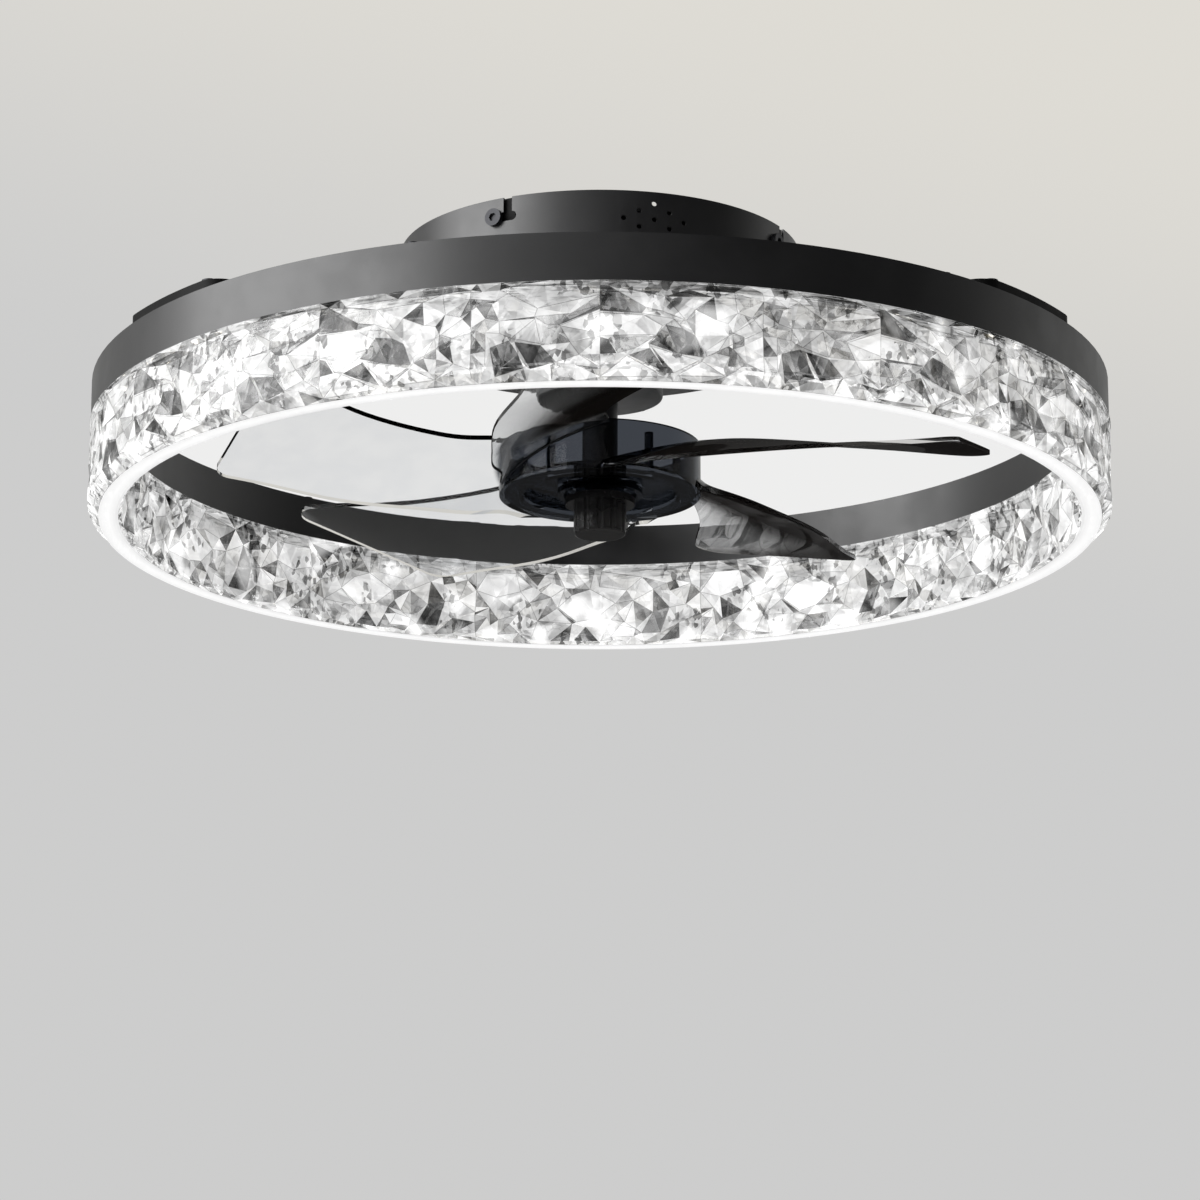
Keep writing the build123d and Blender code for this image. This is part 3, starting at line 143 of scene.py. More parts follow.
class Graph:
    """A node tree with short calls that add nodes and link them."""

    def __init__(self, tree: bpy.types.NodeTree) -> None:
        """Empties the tree."""
        self.tree = tree
        tree.nodes.clear()

    def add(self, kind: str, **settings: object) -> bpy.types.Node:
        """Adds a node of one kind and sets its options."""
        node = self.tree.nodes.new("ShaderNode" + kind)
        for setting, value in settings.items():
            setattr(node, setting, value)
        return node

    def feed(self, socket: Socket, value: object) -> None:
        """Links a socket to another node's output, or writes a plain value on it."""
        if isinstance(value, Socket):
            self.tree.links.new(value, socket)
        elif socket.type == "RGBA":
            socket.default_value = (*value, 1.0)
        else:
            socket.default_value = value

    def fed(self, kind: str, *values: object, **settings: object) -> bpy.types.Node:
        """Adds a node and gives its first inputs their values, in order."""
        node = self.add(kind, **settings)
        for socket, value in zip(node.inputs, values):
            self.feed(socket, value)
        return node

    def named(self, kind: str, values: dict[str, object], **settings: object) -> bpy.types.Node:
        """Adds a node and gives the named inputs their values."""
        node = self.add(kind, **settings)
        for name, value in values.items():
            self.feed(node.inputs[name], value)
        return node

    def math(self, operation: str, *values: object) -> Socket:
        """Adds one step of arithmetic."""
        return self.fed("Math", *values, operation=operation).outputs[0]

    def plus(self, first: object, second: object) -> Socket:
        """Adds two values."""
        return self.math("ADD", first, second)

    def times(self, first: object, second: object) -> Socket:
        """Multiplies two values."""
        return self.math("MULTIPLY", first, second)

    def less(self, first: object, second: object) -> Socket:
        """Takes the second value from the first."""
        return self.math("SUBTRACT", first, second)

    def vector(self, operation: str, *values: object) -> Socket:
        """Adds one step of vector arithmetic."""
        outputs = self.fed("VectorMath", *values, operation=operation).outputs
        return outputs["Value" if operation == "LENGTH" else "Vector"]

    def spread(self, value: object, limits: Range, start: float = 0.0, end: float = 1.0,
               smooth: bool = True) -> Socket:
        """Maps what lies between two limits onto start to end."""
        kind = "SMOOTHSTEP" if smooth else "LINEAR"
        return self.fed("MapRange", value, *limits, start, end, interpolation_type=kind).outputs[0]

    def mix(self, share: object, first: object, second: object) -> Socket:
        """Mixes two colours."""
        node = self.add("Mix", data_type="RGBA")
        for socket, value in zip(MIX_SOCKETS, (share, first, second)):
            self.feed(node.inputs[socket], value)
        return node.outputs[2]

    def place(self) -> Socket:
        """Reads where the point lies on its own object."""
        return self.add("TexCoord").outputs["Object"]

    def split(self, vector: Socket) -> tuple[Socket, ...]:
        """Splits a vector into its three parts."""
        return tuple(self.fed("SeparateXYZ", vector).outputs)

    def join(self, x: object, y: object, z: object) -> Socket:
        """Joins three values into a vector."""
        return self.fed("CombineXYZ", x, y, z).outputs[0]

    def grey(self, value: Socket) -> Socket:
        """Makes a grey from one value."""
        return self.join(value, value, value)

    def stretched(self, vector: object, scales: Triple) -> Socket:
        """Multiplies each part of a vector by its own scale."""
        return self.vector("MULTIPLY", vector, scales)

    def noise(self, vector: object, scale: float, detail: float = 2.0, share: float = 0.5) -> Socket:
        """Adds cloudy noise, whose finer layers keep a share of the layer above."""
        values = {"Vector": vector, "Scale": scale, "Detail": detail, "Roughness": share}
        return self.named("TexNoise", values).outputs[0]

    def cells(self, vector: object, scale: float, feature: str = "F1") -> bpy.types.Node:
        """Adds a pattern of cells."""
        return self.named("TexVoronoi", {"Vector": vector, "Scale": scale}, feature=feature)

    def bump(self, height: object, strength: float, depth: float) -> Socket:
        """Turns a height pattern into a bumped normal."""
        return self.named("Bump", {"Strength": strength, "Distance": depth, "Height": height}).outputs[0]

    def read(self, name: str, output: str = "Fac") -> Socket:
        """Reads one of the piece's own attributes."""
        return self.add("Attribute", attribute_name=name).outputs[output]

    def surface(self, **sockets: object) -> bpy.types.Node:
        """Adds the surface shader with its sockets set, and the output it feeds."""
        values = {name.replace("_", " "): value for name, value in sockets.items()}
        shader = self.named("BsdfPrincipled", values)
        self.named("OutputMaterial", {"Surface": shader.outputs[0]})
        return shader


class Dressing:
    """What a piece or a slot of it is finished with."""

    def draw(self, graph: Graph) -> None:
        """Draws the finish into an empty node tree."""
        raise NotImplementedError

    def material(self, name: str) -> bpy.types.Material:
        """Makes the finish's material.

        Args:
            name: the material's name.

        Returns:
            The new material.
        """
        material = bpy.data.materials.new(name)
        material.use_nodes = True
        self.draw(Graph(material.node_tree))
        return material


class Grain(Enum):
    """How a finish varies over its surface."""

    ORANGE_PEEL = "sprayed powder, fused into fine dimples"
    MOULDED = "fine spark texture of a plastic mould"
    SPANGLE = "plated steel, with small crystals"
    ROLLED = "rolled sheet, with long faint lines"
    TURNED = "turned on a lathe, with fine rings"
    LAMINATED = "a stack of thin sheets"
    WOUND = "enamelled wire, wound close"
    TRACES = "a printed board with copper tracks"
    SHEATH = "soft extruded sleeve"


@dataclass(frozen=True)
class GrainSizes:
    """Sizes of the grains: scales count cells to the metre, and pitches are in metres."""

    dimples: float = 900.0
    sparks: float = 2600.0
    crystals: float = 900.0
    sheet_lines: Triple = (40.0, 900.0, 900.0)
    lathe_rings: float = 3200.0
    sheet_pitch: float = 0.00025
    sheet_gap: float = 0.0001
    wire_pitch: float = 0.0003
    track_cells: float = 320.0
    track_shape: Triple = (1.0, 0.4, 1.0)
    track_edge: Range = (0.08, 0.14)
    sheath_clouds: float = 700.0


@dataclass(frozen=True)
class Finish(Dressing):
    """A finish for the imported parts: two colours that vary by its grain, and a gloss."""

    colour: Colour
    shade: Colour
    roughness: float
    grain: Grain
    metal: float = 0.0
    specular: float = 0.5
    bump: float = 0.2
    depth: float = 0.0001
    variation: float = 0.08
    cloud_scale: float = 38.0
    spot_limits: Range = (0.35, 0.65)
    faintest_spots: float = 0.5
    gloss_limits: Range = (0.3, 0.7)

    def height(self, graph: Graph) -> Socket:
        """Draws the grain as a height pattern from zero to one."""
        sizes = GrainSizes()
        place = graph.place()
        x, y, z = graph.split(place)
        radius = graph.vector("LENGTH", graph.join(x, y, 0.0))
        if self.grain is Grain.ORANGE_PEEL:
            return graph.noise(place, sizes.dimples)
        if self.grain is Grain.MOULDED:
            return graph.noise(place, sizes.sparks, 3.0, 0.6)
        if self.grain is Grain.SPANGLE:
            return graph.cells(place, sizes.crystals).outputs["Distance"]
        if self.grain is Grain.ROLLED:
            return graph.noise(graph.stretched(place, sizes.sheet_lines), 1.0, 3.0)
        if self.grain is Grain.TURNED:
            return graph.noise(graph.join(radius, 0.0, z), sizes.lathe_rings, 1.0)
        if self.grain is Grain.LAMINATED:
            return graph.spread(graph.math("PINGPONG", z, sizes.sheet_pitch), (0.0, sizes.sheet_gap))
        if self.grain is Grain.WOUND:
            across = graph.math("PINGPONG", graph.plus(radius, z), sizes.wire_pitch)
            return graph.spread(across, (0.0, sizes.wire_pitch))
        if self.grain is Grain.TRACES:
            cells = graph.cells(graph.stretched(place, sizes.track_shape), sizes.track_cells,
                                "DISTANCE_TO_EDGE")
            return graph.spread(cells.outputs["Distance"], sizes.track_edge, 1.0, 0.0)
        return graph.noise(place, sizes.sheath_clouds, 4.0, 0.65)

    def draw(self, graph: Graph) -> None:
        """Draws the two colours by the grain, and a gloss that changes in wide clouds."""
        height = self.height(graph)
        clouds = graph.noise(graph.place(), self.cloud_scale, 3.0, 0.6)
        spots = graph.times(height, graph.spread(clouds, self.spot_limits, self.faintest_spots, 1.0))
        gloss = graph.spread(clouds, self.gloss_limits, self.roughness - self.variation,
                             self.roughness + self.variation)
        graph.surface(Base_Color=graph.mix(spots, self.colour, self.shade), Roughness=gloss,
                      Metallic=self.metal, Specular_IOR_Level=self.specular,
                      Normal=graph.bump(height, self.bump, self.depth))


FINISHES: dict[str, Finish] = {
    "black_powder_coat": Finish((0.009, 0.009, 0.010), (0.014, 0.014, 0.015), 0.38, Grain.ORANGE_PEEL,
                                specular=1.0, bump=0.10, variation=0.04),
    # Painted shade: a darker, duller copy of the black coat, so the arms' feet read shaded and the bracket's
    # slots and vents read dark.
    "painted_shade_steel": Finish((0.004, 0.004, 0.004), (0.007, 0.007, 0.007), 0.55, Grain.ROLLED,
                              specular=0.15, variation=0.05),
    "blackened_nut": Finish((0.008, 0.008, 0.009), (0.016, 0.014, 0.013), 0.28, Grain.TURNED,
                            specular=0.35),
    "pressed_steel": Finish((0.46, 0.47, 0.48), (0.36, 0.37, 0.38), 0.34, Grain.ROLLED, metal=1.0),
    "zinc_steel": Finish((0.62, 0.63, 0.64), (0.48, 0.49, 0.52), 0.30, Grain.SPANGLE, metal=1.0),
    "black_oxide_steel": Finish((0.035, 0.036, 0.040), (0.06, 0.06, 0.065), 0.38, Grain.TURNED, metal=0.7),
    "white_housing": Finish((0.72, 0.72, 0.70), (0.66, 0.66, 0.64), 0.45, Grain.MOULDED),
    "circuit_board": Finish((0.02, 0.12, 0.05), (0.05, 0.24, 0.10), 0.35, Grain.TRACES),
    "components": Finish((0.03, 0.03, 0.035), (0.05, 0.05, 0.06), 0.42, Grain.MOULDED),
    "brass_terminals": Finish((0.70, 0.50, 0.22), (0.60, 0.42, 0.17), 0.30, Grain.TURNED, metal=1.0),
    "cable_sheath": Finish((0.60, 0.60, 0.58), (0.52, 0.52, 0.50), 0.50, Grain.SHEATH),
    "rubber_grommet": Finish((0.018, 0.018, 0.018), (0.03, 0.03, 0.03), 0.65, Grain.SHEATH),
    "black_nylon": Finish((0.012, 0.012, 0.013), (0.02, 0.02, 0.022), 0.40, Grain.MOULDED),
    "led_board": Finish((0.74, 0.74, 0.72), (0.62, 0.56, 0.40), 0.40, Grain.TRACES),
    "lamination_steel": Finish((0.34, 0.34, 0.36), (0.16, 0.16, 0.17), 0.42, Grain.LAMINATED, metal=1.0),
    "copper_winding": Finish((0.30, 0.09, 0.03), (0.62, 0.24, 0.09), 0.26, Grain.WOUND, metal=0.9,
                             bump=0.5, depth=0.0003),
    "bearing_steel": Finish((0.60, 0.60, 0.61), (0.50, 0.50, 0.52), 0.18, Grain.TURNED, metal=1.0),
    "magnet": Finish((0.10, 0.10, 0.105), (0.15, 0.15, 0.155), 0.46, Grain.SHEATH, metal=0.6),
}

SPECIAL_FINISHES: dict[str, str] = {
    "lock_nut": "blackened_nut",
    # The arms and the ceiling bracket take the darker steel as painted shade.
    **dict.fromkeys(("arm_left", "arm_right", "arm_rear", "ceiling_bracket"), "painted_shade_steel"),
}


@dataclass(frozen=True)
class LampFace(Dressing):
    """The lit face of a light chip: phosphor that glows, a little warmer in its speckles."""

    colour: Colour = (1.0, 0.97, 0.92)
    warm_colour: Colour = (1.0, 0.84, 0.55)
    phosphor: Colour = (0.8, 0.74, 0.5)
    roughness: float = 0.4
    strength: float = 2.2
    speckle_scale: float = 4000.0
    speckle_limits: Range = (0.3, 0.7)
    warmest: float = 0.4

    def draw(self, graph: Graph) -> None:
        """Draws the speckled glow."""
        speckle = graph.noise(graph.place(), self.speckle_scale)
        warmth = graph.spread(speckle, self.speckle_limits, 0.0, self.warmest)
        graph.surface(Base_Color=self.phosphor, Roughness=self.roughness,
                      Emission_Color=graph.mix(warmth, self.colour, self.warm_colour),
                      Emission_Strength=self.strength)


@dataclass(frozen=True)
class SmokedAcrylic(Dressing):
    """Clear acrylic for the blades: a dark smoked tint in the drum, and painted dark where seen edge on."""

    blade_tint: Colour = (0.90, 0.905, 0.91)
    cloud_tint: Colour = (0.86, 0.868, 0.88)
    drum_tint: Colour = (0.055, 0.062, 0.075)
    # Painted shade, partly the longer path through the tint: the near-black colour where the sheet is seen
    # edge on.
    edge_tint_and_painted_light: Colour = (0.014, 0.012, 0.011)
    drum_limits: Range = (0.0500, 0.0535)
    edge_limits: Range = (0.73, 0.82)
    solid_limits: Range = (0.76, 0.84)
    most_solid: float = 0.94
    roughness: float = 0.015
    density: float = 1.20
    flow_scale: float = 60.0
    flow_shape: Triple = (1.0, 1.0, 0.5)
    flow_limits: Range = (0.3, 0.7)
    ripple_scale: float = 60.0
    ripple_strength: float = 0.05
    ripple_depth: float = 0.0003

    def draw(self, graph: Graph) -> None:
        """Draws the tinted, see-through acrylic."""
        place = graph.place()
        x, y, _ = graph.split(place)
        radius = graph.vector("LENGTH", graph.join(x, y, 0.0))
        blade = graph.spread(radius, self.drum_limits)
        flow = graph.noise(graph.stretched(place, self.flow_shape), self.flow_scale)
        light = graph.mix(graph.spread(flow, self.flow_limits), self.blade_tint, self.cloud_tint)
        # Seen edge on, the sheet is made dark and nearly opaque: partly the longer path through the tint,
        # partly painted shade.
        facing = graph.add("LayerWeight").outputs["Facing"]
        slant = graph.spread(facing, self.edge_limits)
        solid = graph.times(graph.spread(facing, self.solid_limits, 0.0, self.most_solid), blade)
        tint_and_painted_light = graph.mix(blade, self.drum_tint, graph.mix(slant, light, self.edge_tint_and_painted_light))
        ripple = graph.bump(graph.noise(place, self.ripple_scale, 0.0), self.ripple_strength,
                            self.ripple_depth)
        shader = graph.surface(Base_Color=tint_and_painted_light, Roughness=self.roughness, IOR=self.density,
                               Transmission_Weight=graph.less(1.0, solid),
                               Specular_IOR_Level=0.0, Normal=ripple)
        shader.distribution = "GGX"


@dataclass(frozen=True)
class FacetedCrystal(Dressing):
    """Clear crystal lit from inside, with painted light: each facet has its own painted tone and glow, shards
    and fine edge lines.

    Triple of slopes, streaks and shards count on a facet's own map, in millimetres. The others count
    in metres.
    """

    roughness: float = 0.015
    density: float = 1.49
    strength: float = 1.0
    brightest: float = 0.92
    painted_tone_limits: Range = (0.04, 0.98)
    glow_share: float = 0.7
    slope_scales: Triple = (0.05, 0.09, 1.0)
    slope_limits: Range = (0.3, 0.7)
    slope_strength: float = 0.10
    streak_scales: Triple = (0.03, 0.40, 1.0)
    streak_limits: Range = (0.58, 0.72)
    streak_strength: float = 0.12
    shard_scales: Triple = (0.15, 0.26, 1.0)
    shard_middle: float = 0.6
    border_limits: Range = (0.04, 0.30)
    border_dark: float = 0.45
    seam_limits: Range = (0.0, 0.05)
    patch_scale: float = 42.0
    patch_rise: float = 0.45
    patch_limits: Range = (0.59, 0.63)
    bend_scale: float = 260.0
    bend: float = 0.001
    crumb_scales: Triple = (430.0, 430.0, 300.0)
    crumb_limits: Range = (0.08, 0.40)
    crumb_dark: float = -0.55
    smear_scales: Point = (24.0, 700.0)
    smear_limits: Range = (0.52, 0.62)
    smear_heights: Range = (-0.1065, -0.1015)
    smear_strength: float = 0.25
    blob_scale: float = 58.0
    blob_limits: Range = (0.58, 0.80)
    blob_strength: float = 0.40

    def inner_pattern(self, graph: Graph) -> tuple[Socket, Socket]:
        """Draws painted light in each facet, slopes, streaks and shards of lighter and darker tone, and the
        lines round them.

        Args:
            graph: the material's nodes.

        Returns:
            How much lighter or darker a point is, and a factor that darkens the lines.
        """
        across = graph.add("UVMap", uv_map="facet").outputs[0]
        depth = graph.read("depth")
        broad = graph.noise(graph.stretched(across, self.slope_scales), 1.0, 1.0)
        fine = graph.noise(graph.stretched(across, self.streak_scales), 1.0, 1.0)
        turned = graph.stretched(across, self.shard_scales)
        cell = graph.split(graph.cells(turned, 1.0).outputs["Color"])[0]
        lines = graph.cells(turned, 1.0, "DISTANCE_TO_EDGE").outputs["Distance"]
        slope = graph.times(graph.spread(broad, self.slope_limits, -1.0, 1.0), self.slope_strength)
        streak = graph.times(graph.spread(fine, self.streak_limits), self.streak_strength)
        shard = graph.times(graph.less(cell, self.shard_middle), depth)
        edges = graph.split(graph.read("edge_distance", "Vector"))
        nearest = graph.math("MINIMUM", graph.math("MINIMUM", edges[0], edges[1]), edges[2])
        border = graph.spread(nearest, self.border_limits, self.border_dark, 1.0)
        seam = graph.less(1.0, graph.times(graph.spread(lines, self.seam_limits, 1.0, 0.0), depth))
        return graph.plus(graph.plus(slope, streak), shard), graph.times(border, seam)

    def cast_pattern(self, graph: Graph, place: Socket) -> Socket:
        """Draws what the light does behind the facets: crumbs in patches, and smears near the top.

        Args:
            graph: the material's nodes.
            place: where the point lies on the ring.

        Returns:
            How much lighter or darker a point is.
        """
        x, y, z = graph.split(place)
        end = graph.times(graph.math("ABSOLUTE", x), self.patch_rise)
        patch = graph.spread(graph.plus(graph.noise(place, self.patch_scale, 1.0), end), self.patch_limits)
        shift = graph.named("TexNoise", {"Vector": place, "Scale": self.bend_scale}).outputs["Color"]
        shift = graph.stretched(graph.vector("SUBTRACT", shift, (0.5,) * 3), (self.bend,) * 3)
        bent = graph.stretched(graph.vector("ADD", place, shift), self.crumb_scales)
        crumb = graph.split(graph.cells(bent, 1.0).outputs["Color"])[0]
        crumb = graph.times(graph.spread(crumb, self.crumb_limits, self.crumb_dark, 0.0, False), patch)
        along, up = self.smear_scales
        path = graph.join(graph.times(graph.math("ARCTAN2", y, x), along), graph.times(z, up), 0.0)
        smear = graph.spread(graph.noise(path, 1.0), self.smear_limits)
        smear = graph.times(smear, graph.spread(z, self.smear_heights))
        return graph.less(crumb, graph.times(smear, self.smear_strength))

    def draw(self, graph: Graph) -> None:
        """Draws the crystal from its facets' painted tones and glows, its inner pattern and what the light
        casts.
        """
        place = graph.place()
        cast = graph.read("cast")
        change, line = self.inner_pattern(graph)
        change = graph.plus(change, graph.times(self.cast_pattern(graph, place), cast))
        darkest, palest = self.painted_tone_limits
        tint_and_painted_light = graph.math("MAXIMUM", graph.plus(graph.read("tone"), change), darkest)
        tint_and_painted_light = graph.times(graph.math("MINIMUM", tint_and_painted_light, palest), line)
        # Painted glow: soft pale blobs where the light casts.
        blob = graph.spread(graph.noise(place, self.blob_scale, 0.0), self.blob_limits)
        blob = graph.times(graph.times(blob, cast), self.blob_strength)
        glow = graph.plus(graph.read("glow"), graph.times(change, self.glow_share))
        glow = graph.times(graph.math("MAXIMUM", glow, 0.0), line)
        glow = graph.math("MINIMUM", graph.plus(glow, blob), self.brightest)
        # Painted light: the base colour's tones stand for what the facets reflect and refract, and the
        # emission for the LED light carried through the crystal.
        graph.surface(Base_Color=graph.grey(tint_and_painted_light), Roughness=self.roughness, IOR=self.density,
                      Transmission_Weight=graph.read("clear"), Emission_Color=graph.grey(glow),
                      Emission_Strength=self.strength)


@dataclass(frozen=True)
class FloorPaint(Dressing):
    """A dull pale floor with faint wide clouds."""

    tones: tuple[Colour, Colour] = ((0.70, 0.70, 0.69), (0.74, 0.74, 0.73))
    cloud_scale: float = 0.8
    roughness: float = 0.9

    def draw(self, graph: Graph) -> None:
        """Draws the clouds."""
        tone = graph.noise(graph.place(), self.cloud_scale, 3.0)
        graph.surface(Base_Color=graph.mix(tone, *self.tones), Roughness=self.roughness)


class Gleam(Enum):
    """How a facet shows: its painted tone, its painted glow, how clear it is, and how strong the shards
    inside it are.
    """

    BRIGHT = (0.94, 0.38, 0.60, 0.05)
    PALE = (0.92, 0.22, 0.64, 0.12)
    CLOUDY = (0.82, 0.11, 0.72, 0.26)
    GREY = (0.48, 0.06, 0.84, 0.22)
    DARK = (0.14, 0.02, 0.86, 0.10)


BRIGHT, PALE, CLOUDY, GREY, DARK = Gleam
GLEAM_SHARES = (0.16, 0.50, 0.24, 0.07, 0.03)
LEAST_CHANGE, CHANGE_SPAN = 0.88, 0.24
LIFT_START, LIFT_SPAN = 0.4, 0.4
WAVES_ALONG, WAVES_UP = 7, 17
SWAY, SWAY_ALONG, SWAY_UP = 3, 2, 5


@dataclass(frozen=True)
class FacetMark:
    """A facet of the moulded relief that keeps its gleam in every repeat."""

    gleam: Gleam
    outline: Chain


def chains(*outlines: Chain) -> tuple[Chain, ...]:
    """Turns chains of points from thousandths into shares."""
    return tuple(tuple((u / 1000, v / 1000) for u, v in outline) for outline in outlines)


def facet(gleam: Gleam, *outline: Point) -> FacetMark:
    """Makes a mark from its outline in thousandths."""
    return FacetMark(gleam, *chains(outline))


@dataclass(frozen=True)
class FacetMotif:
    """One moulded repeat of the crystal's relief, in shares of its length and of its height."""

    marks: tuple[FacetMark, ...]
    cuts: tuple[Chain, ...]
    side_points: tuple[float, ...] = (0.0, 0.24, 0.42, 0.67, 0.86, 1.0)
    rim_steps: int = 12

    def seam_points(self) -> list[float]:
        """Lists the heights at which the two sides have corners, so that repeats meet corner to corner."""
        paths = [mark.outline for mark in self.marks] + list(self.cuts)
        return sorted({*self.side_points, *(v for path in paths for u, v in path if u in (0.0, 1.0))})


OUTER_MOTIF = FacetMotif(
    marks=(
        facet(DARK, (0, 680), (140, 670), (155, 720), (30, 950), (0, 950)),
        facet(BRIGHT, (0, 430), (190, 450), (210, 540), (148, 650), (0, 660)),
        facet(CLOUDY, (60, 250), (120, 300), (190, 440), (30, 400)),
        facet(DARK, (0, 245), (55, 250), (25, 390), (0, 410)), facet(BRIGHT, (0, 30), (215, 40), (90, 220)),
        facet(DARK, (97, 226), (228, 66), (166, 300)),
        facet(DARK, (162, 350), (264, 264), (351, 226), (322, 453), (278, 528), (220, 547)),
        facet(BRIGHT, (170, 320), (250, 70), (335, 200)), facet(BRIGHT, (260, 50), (430, 60), (345, 190)),
        facet(DARK, (322, 717), (396, 620), (388, 868)),
        facet(GREY, (451, 340), (490, 380), (492, 470), (451, 510)),
        facet(PALE, (360, 240), (560, 560), (530, 660), (355, 300)),
        facet(DARK, (560, 290), (610, 310), (560, 500)),
        facet(GREY, (522, 680), (600, 790), (658, 810), (559, 850)),
        facet(DARK, (641, 50), (743, 110), (722, 260), (692, 400), (626, 340)),
        facet(DARK, (765, 100), (852, 160), (800, 340), (712, 380)),
        facet(PALE, (700, 420), (800, 360), (780, 620)),
        facet(GREY, (779, 640), (822, 547), (866, 547), (1000, 740), (900, 660)),
        facet(BRIGHT, (866, 530), (1000, 450), (1000, 700)), facet(GREY, (575, 790), (612, 640), (632, 790)),
        facet(GREY, (396, 280), (440, 260), (436, 470)), facet(GREY, (700, 955), (950, 950), (720, 975)),
    ),
    cuts=chains(
        ((155, 720), (210, 700), (290, 600), (322, 717)), ((140, 670), (250, 620), (278, 528)),
        ((30, 950), (220, 850), (388, 868), (460, 930)), ((220, 850), (290, 600)),
        ((100, 930), (300, 930), (460, 930), (600, 920)), ((560, 50), (560, 950)),
        ((430, 60), (500, 200), (560, 120)), ((500, 200), (451, 340)), ((690, 887), (790, 717), (1000, 850)),
        ((660, 930), (690, 887), (632, 790)), ((790, 717), (779, 640), (660, 600), (612, 640)),
        ((660, 600), (660, 480), (700, 420)), ((660, 480), (610, 500), (610, 310)), ((610, 150), (610, 310)),
        ((852, 160), (930, 240), (1000, 100)), ((866, 530), (900, 360), (930, 240)),
        ((900, 360), (1000, 420)), ((396, 620), (436, 600), (470, 720), (522, 680)), ((470, 720), (460, 930)),
    ),
)

INNER_MOTIF = FacetMotif(
    marks=(
        facet(BRIGHT, (370, 476), (450, 300), (530, 333), (620, 536), (510, 714), (430, 630)),
        facet(DARK, (365, 460), (430, 260), (445, 290)), facet(DARK, (440, 60), (545, 60), (490, 230)),
        facet(GREY, (555, 60), (610, 60), (580, 230)), facet(GREY, (600, 330), (660, 300), (630, 420)),
        facet(DARK, (735, 160), (820, 140), (860, 460), (790, 680), (786, 417)),
        facet(DARK, (210, 940), (280, 740), (310, 860)), facet(DARK, (60, 417), (67, 210), (100, 270)),
        facet(GREY, (815, 50), (900, 80), (900, 270)), facet(GREY, (200, 880), (255, 700), (240, 720)),
        facet(GREY, (285, 690), (340, 770), (295, 660)), facet(GREY, (0, 100), (50, 300), (0, 330)),
        facet(GREY, (100, 100), (190, 120), (150, 220)),
        facet(BRIGHT, (0, 620), (90, 550), (200, 640), (180, 860), (60, 880)),
        facet(BRIGHT, (600, 100), (700, 120), (710, 220), (640, 260)),
        facet(PALE, (550, 740), (670, 700), (740, 840), (560, 930)),
        facet(DARK, (860, 680), (905, 700), (890, 790), (850, 770)),
    ),
    cuts=chains(
        ((360, 950), (400, 720), (370, 476)), ((510, 714), (530, 940)), ((620, 536), (700, 560), (790, 680)),
        ((240, 500), (280, 300), (365, 460)), ((240, 500), (340, 600), (400, 720)), ((240, 500), (200, 640)),
        ((280, 300), (250, 80)), ((280, 300), (430, 260)), ((100, 270), (190, 360), (240, 500)),
        ((0, 330), (60, 417), (0, 620)), ((660, 300), (735, 160)), ((700, 560), (660, 300)),
        ((860, 460), (930, 500), (1000, 360)), ((930, 500), (960, 740), (905, 700)), ((940, 940), (960, 740)),
        ((310, 860), (360, 950)),
    ),
)


@dataclass(frozen=True)
class Facets:
    """A motif cut into triangles: points in shares, corner numbers, and each one's mark and cut sides."""

    points: Array
    corners: Array
    marks: Array
    cut_sides: Array


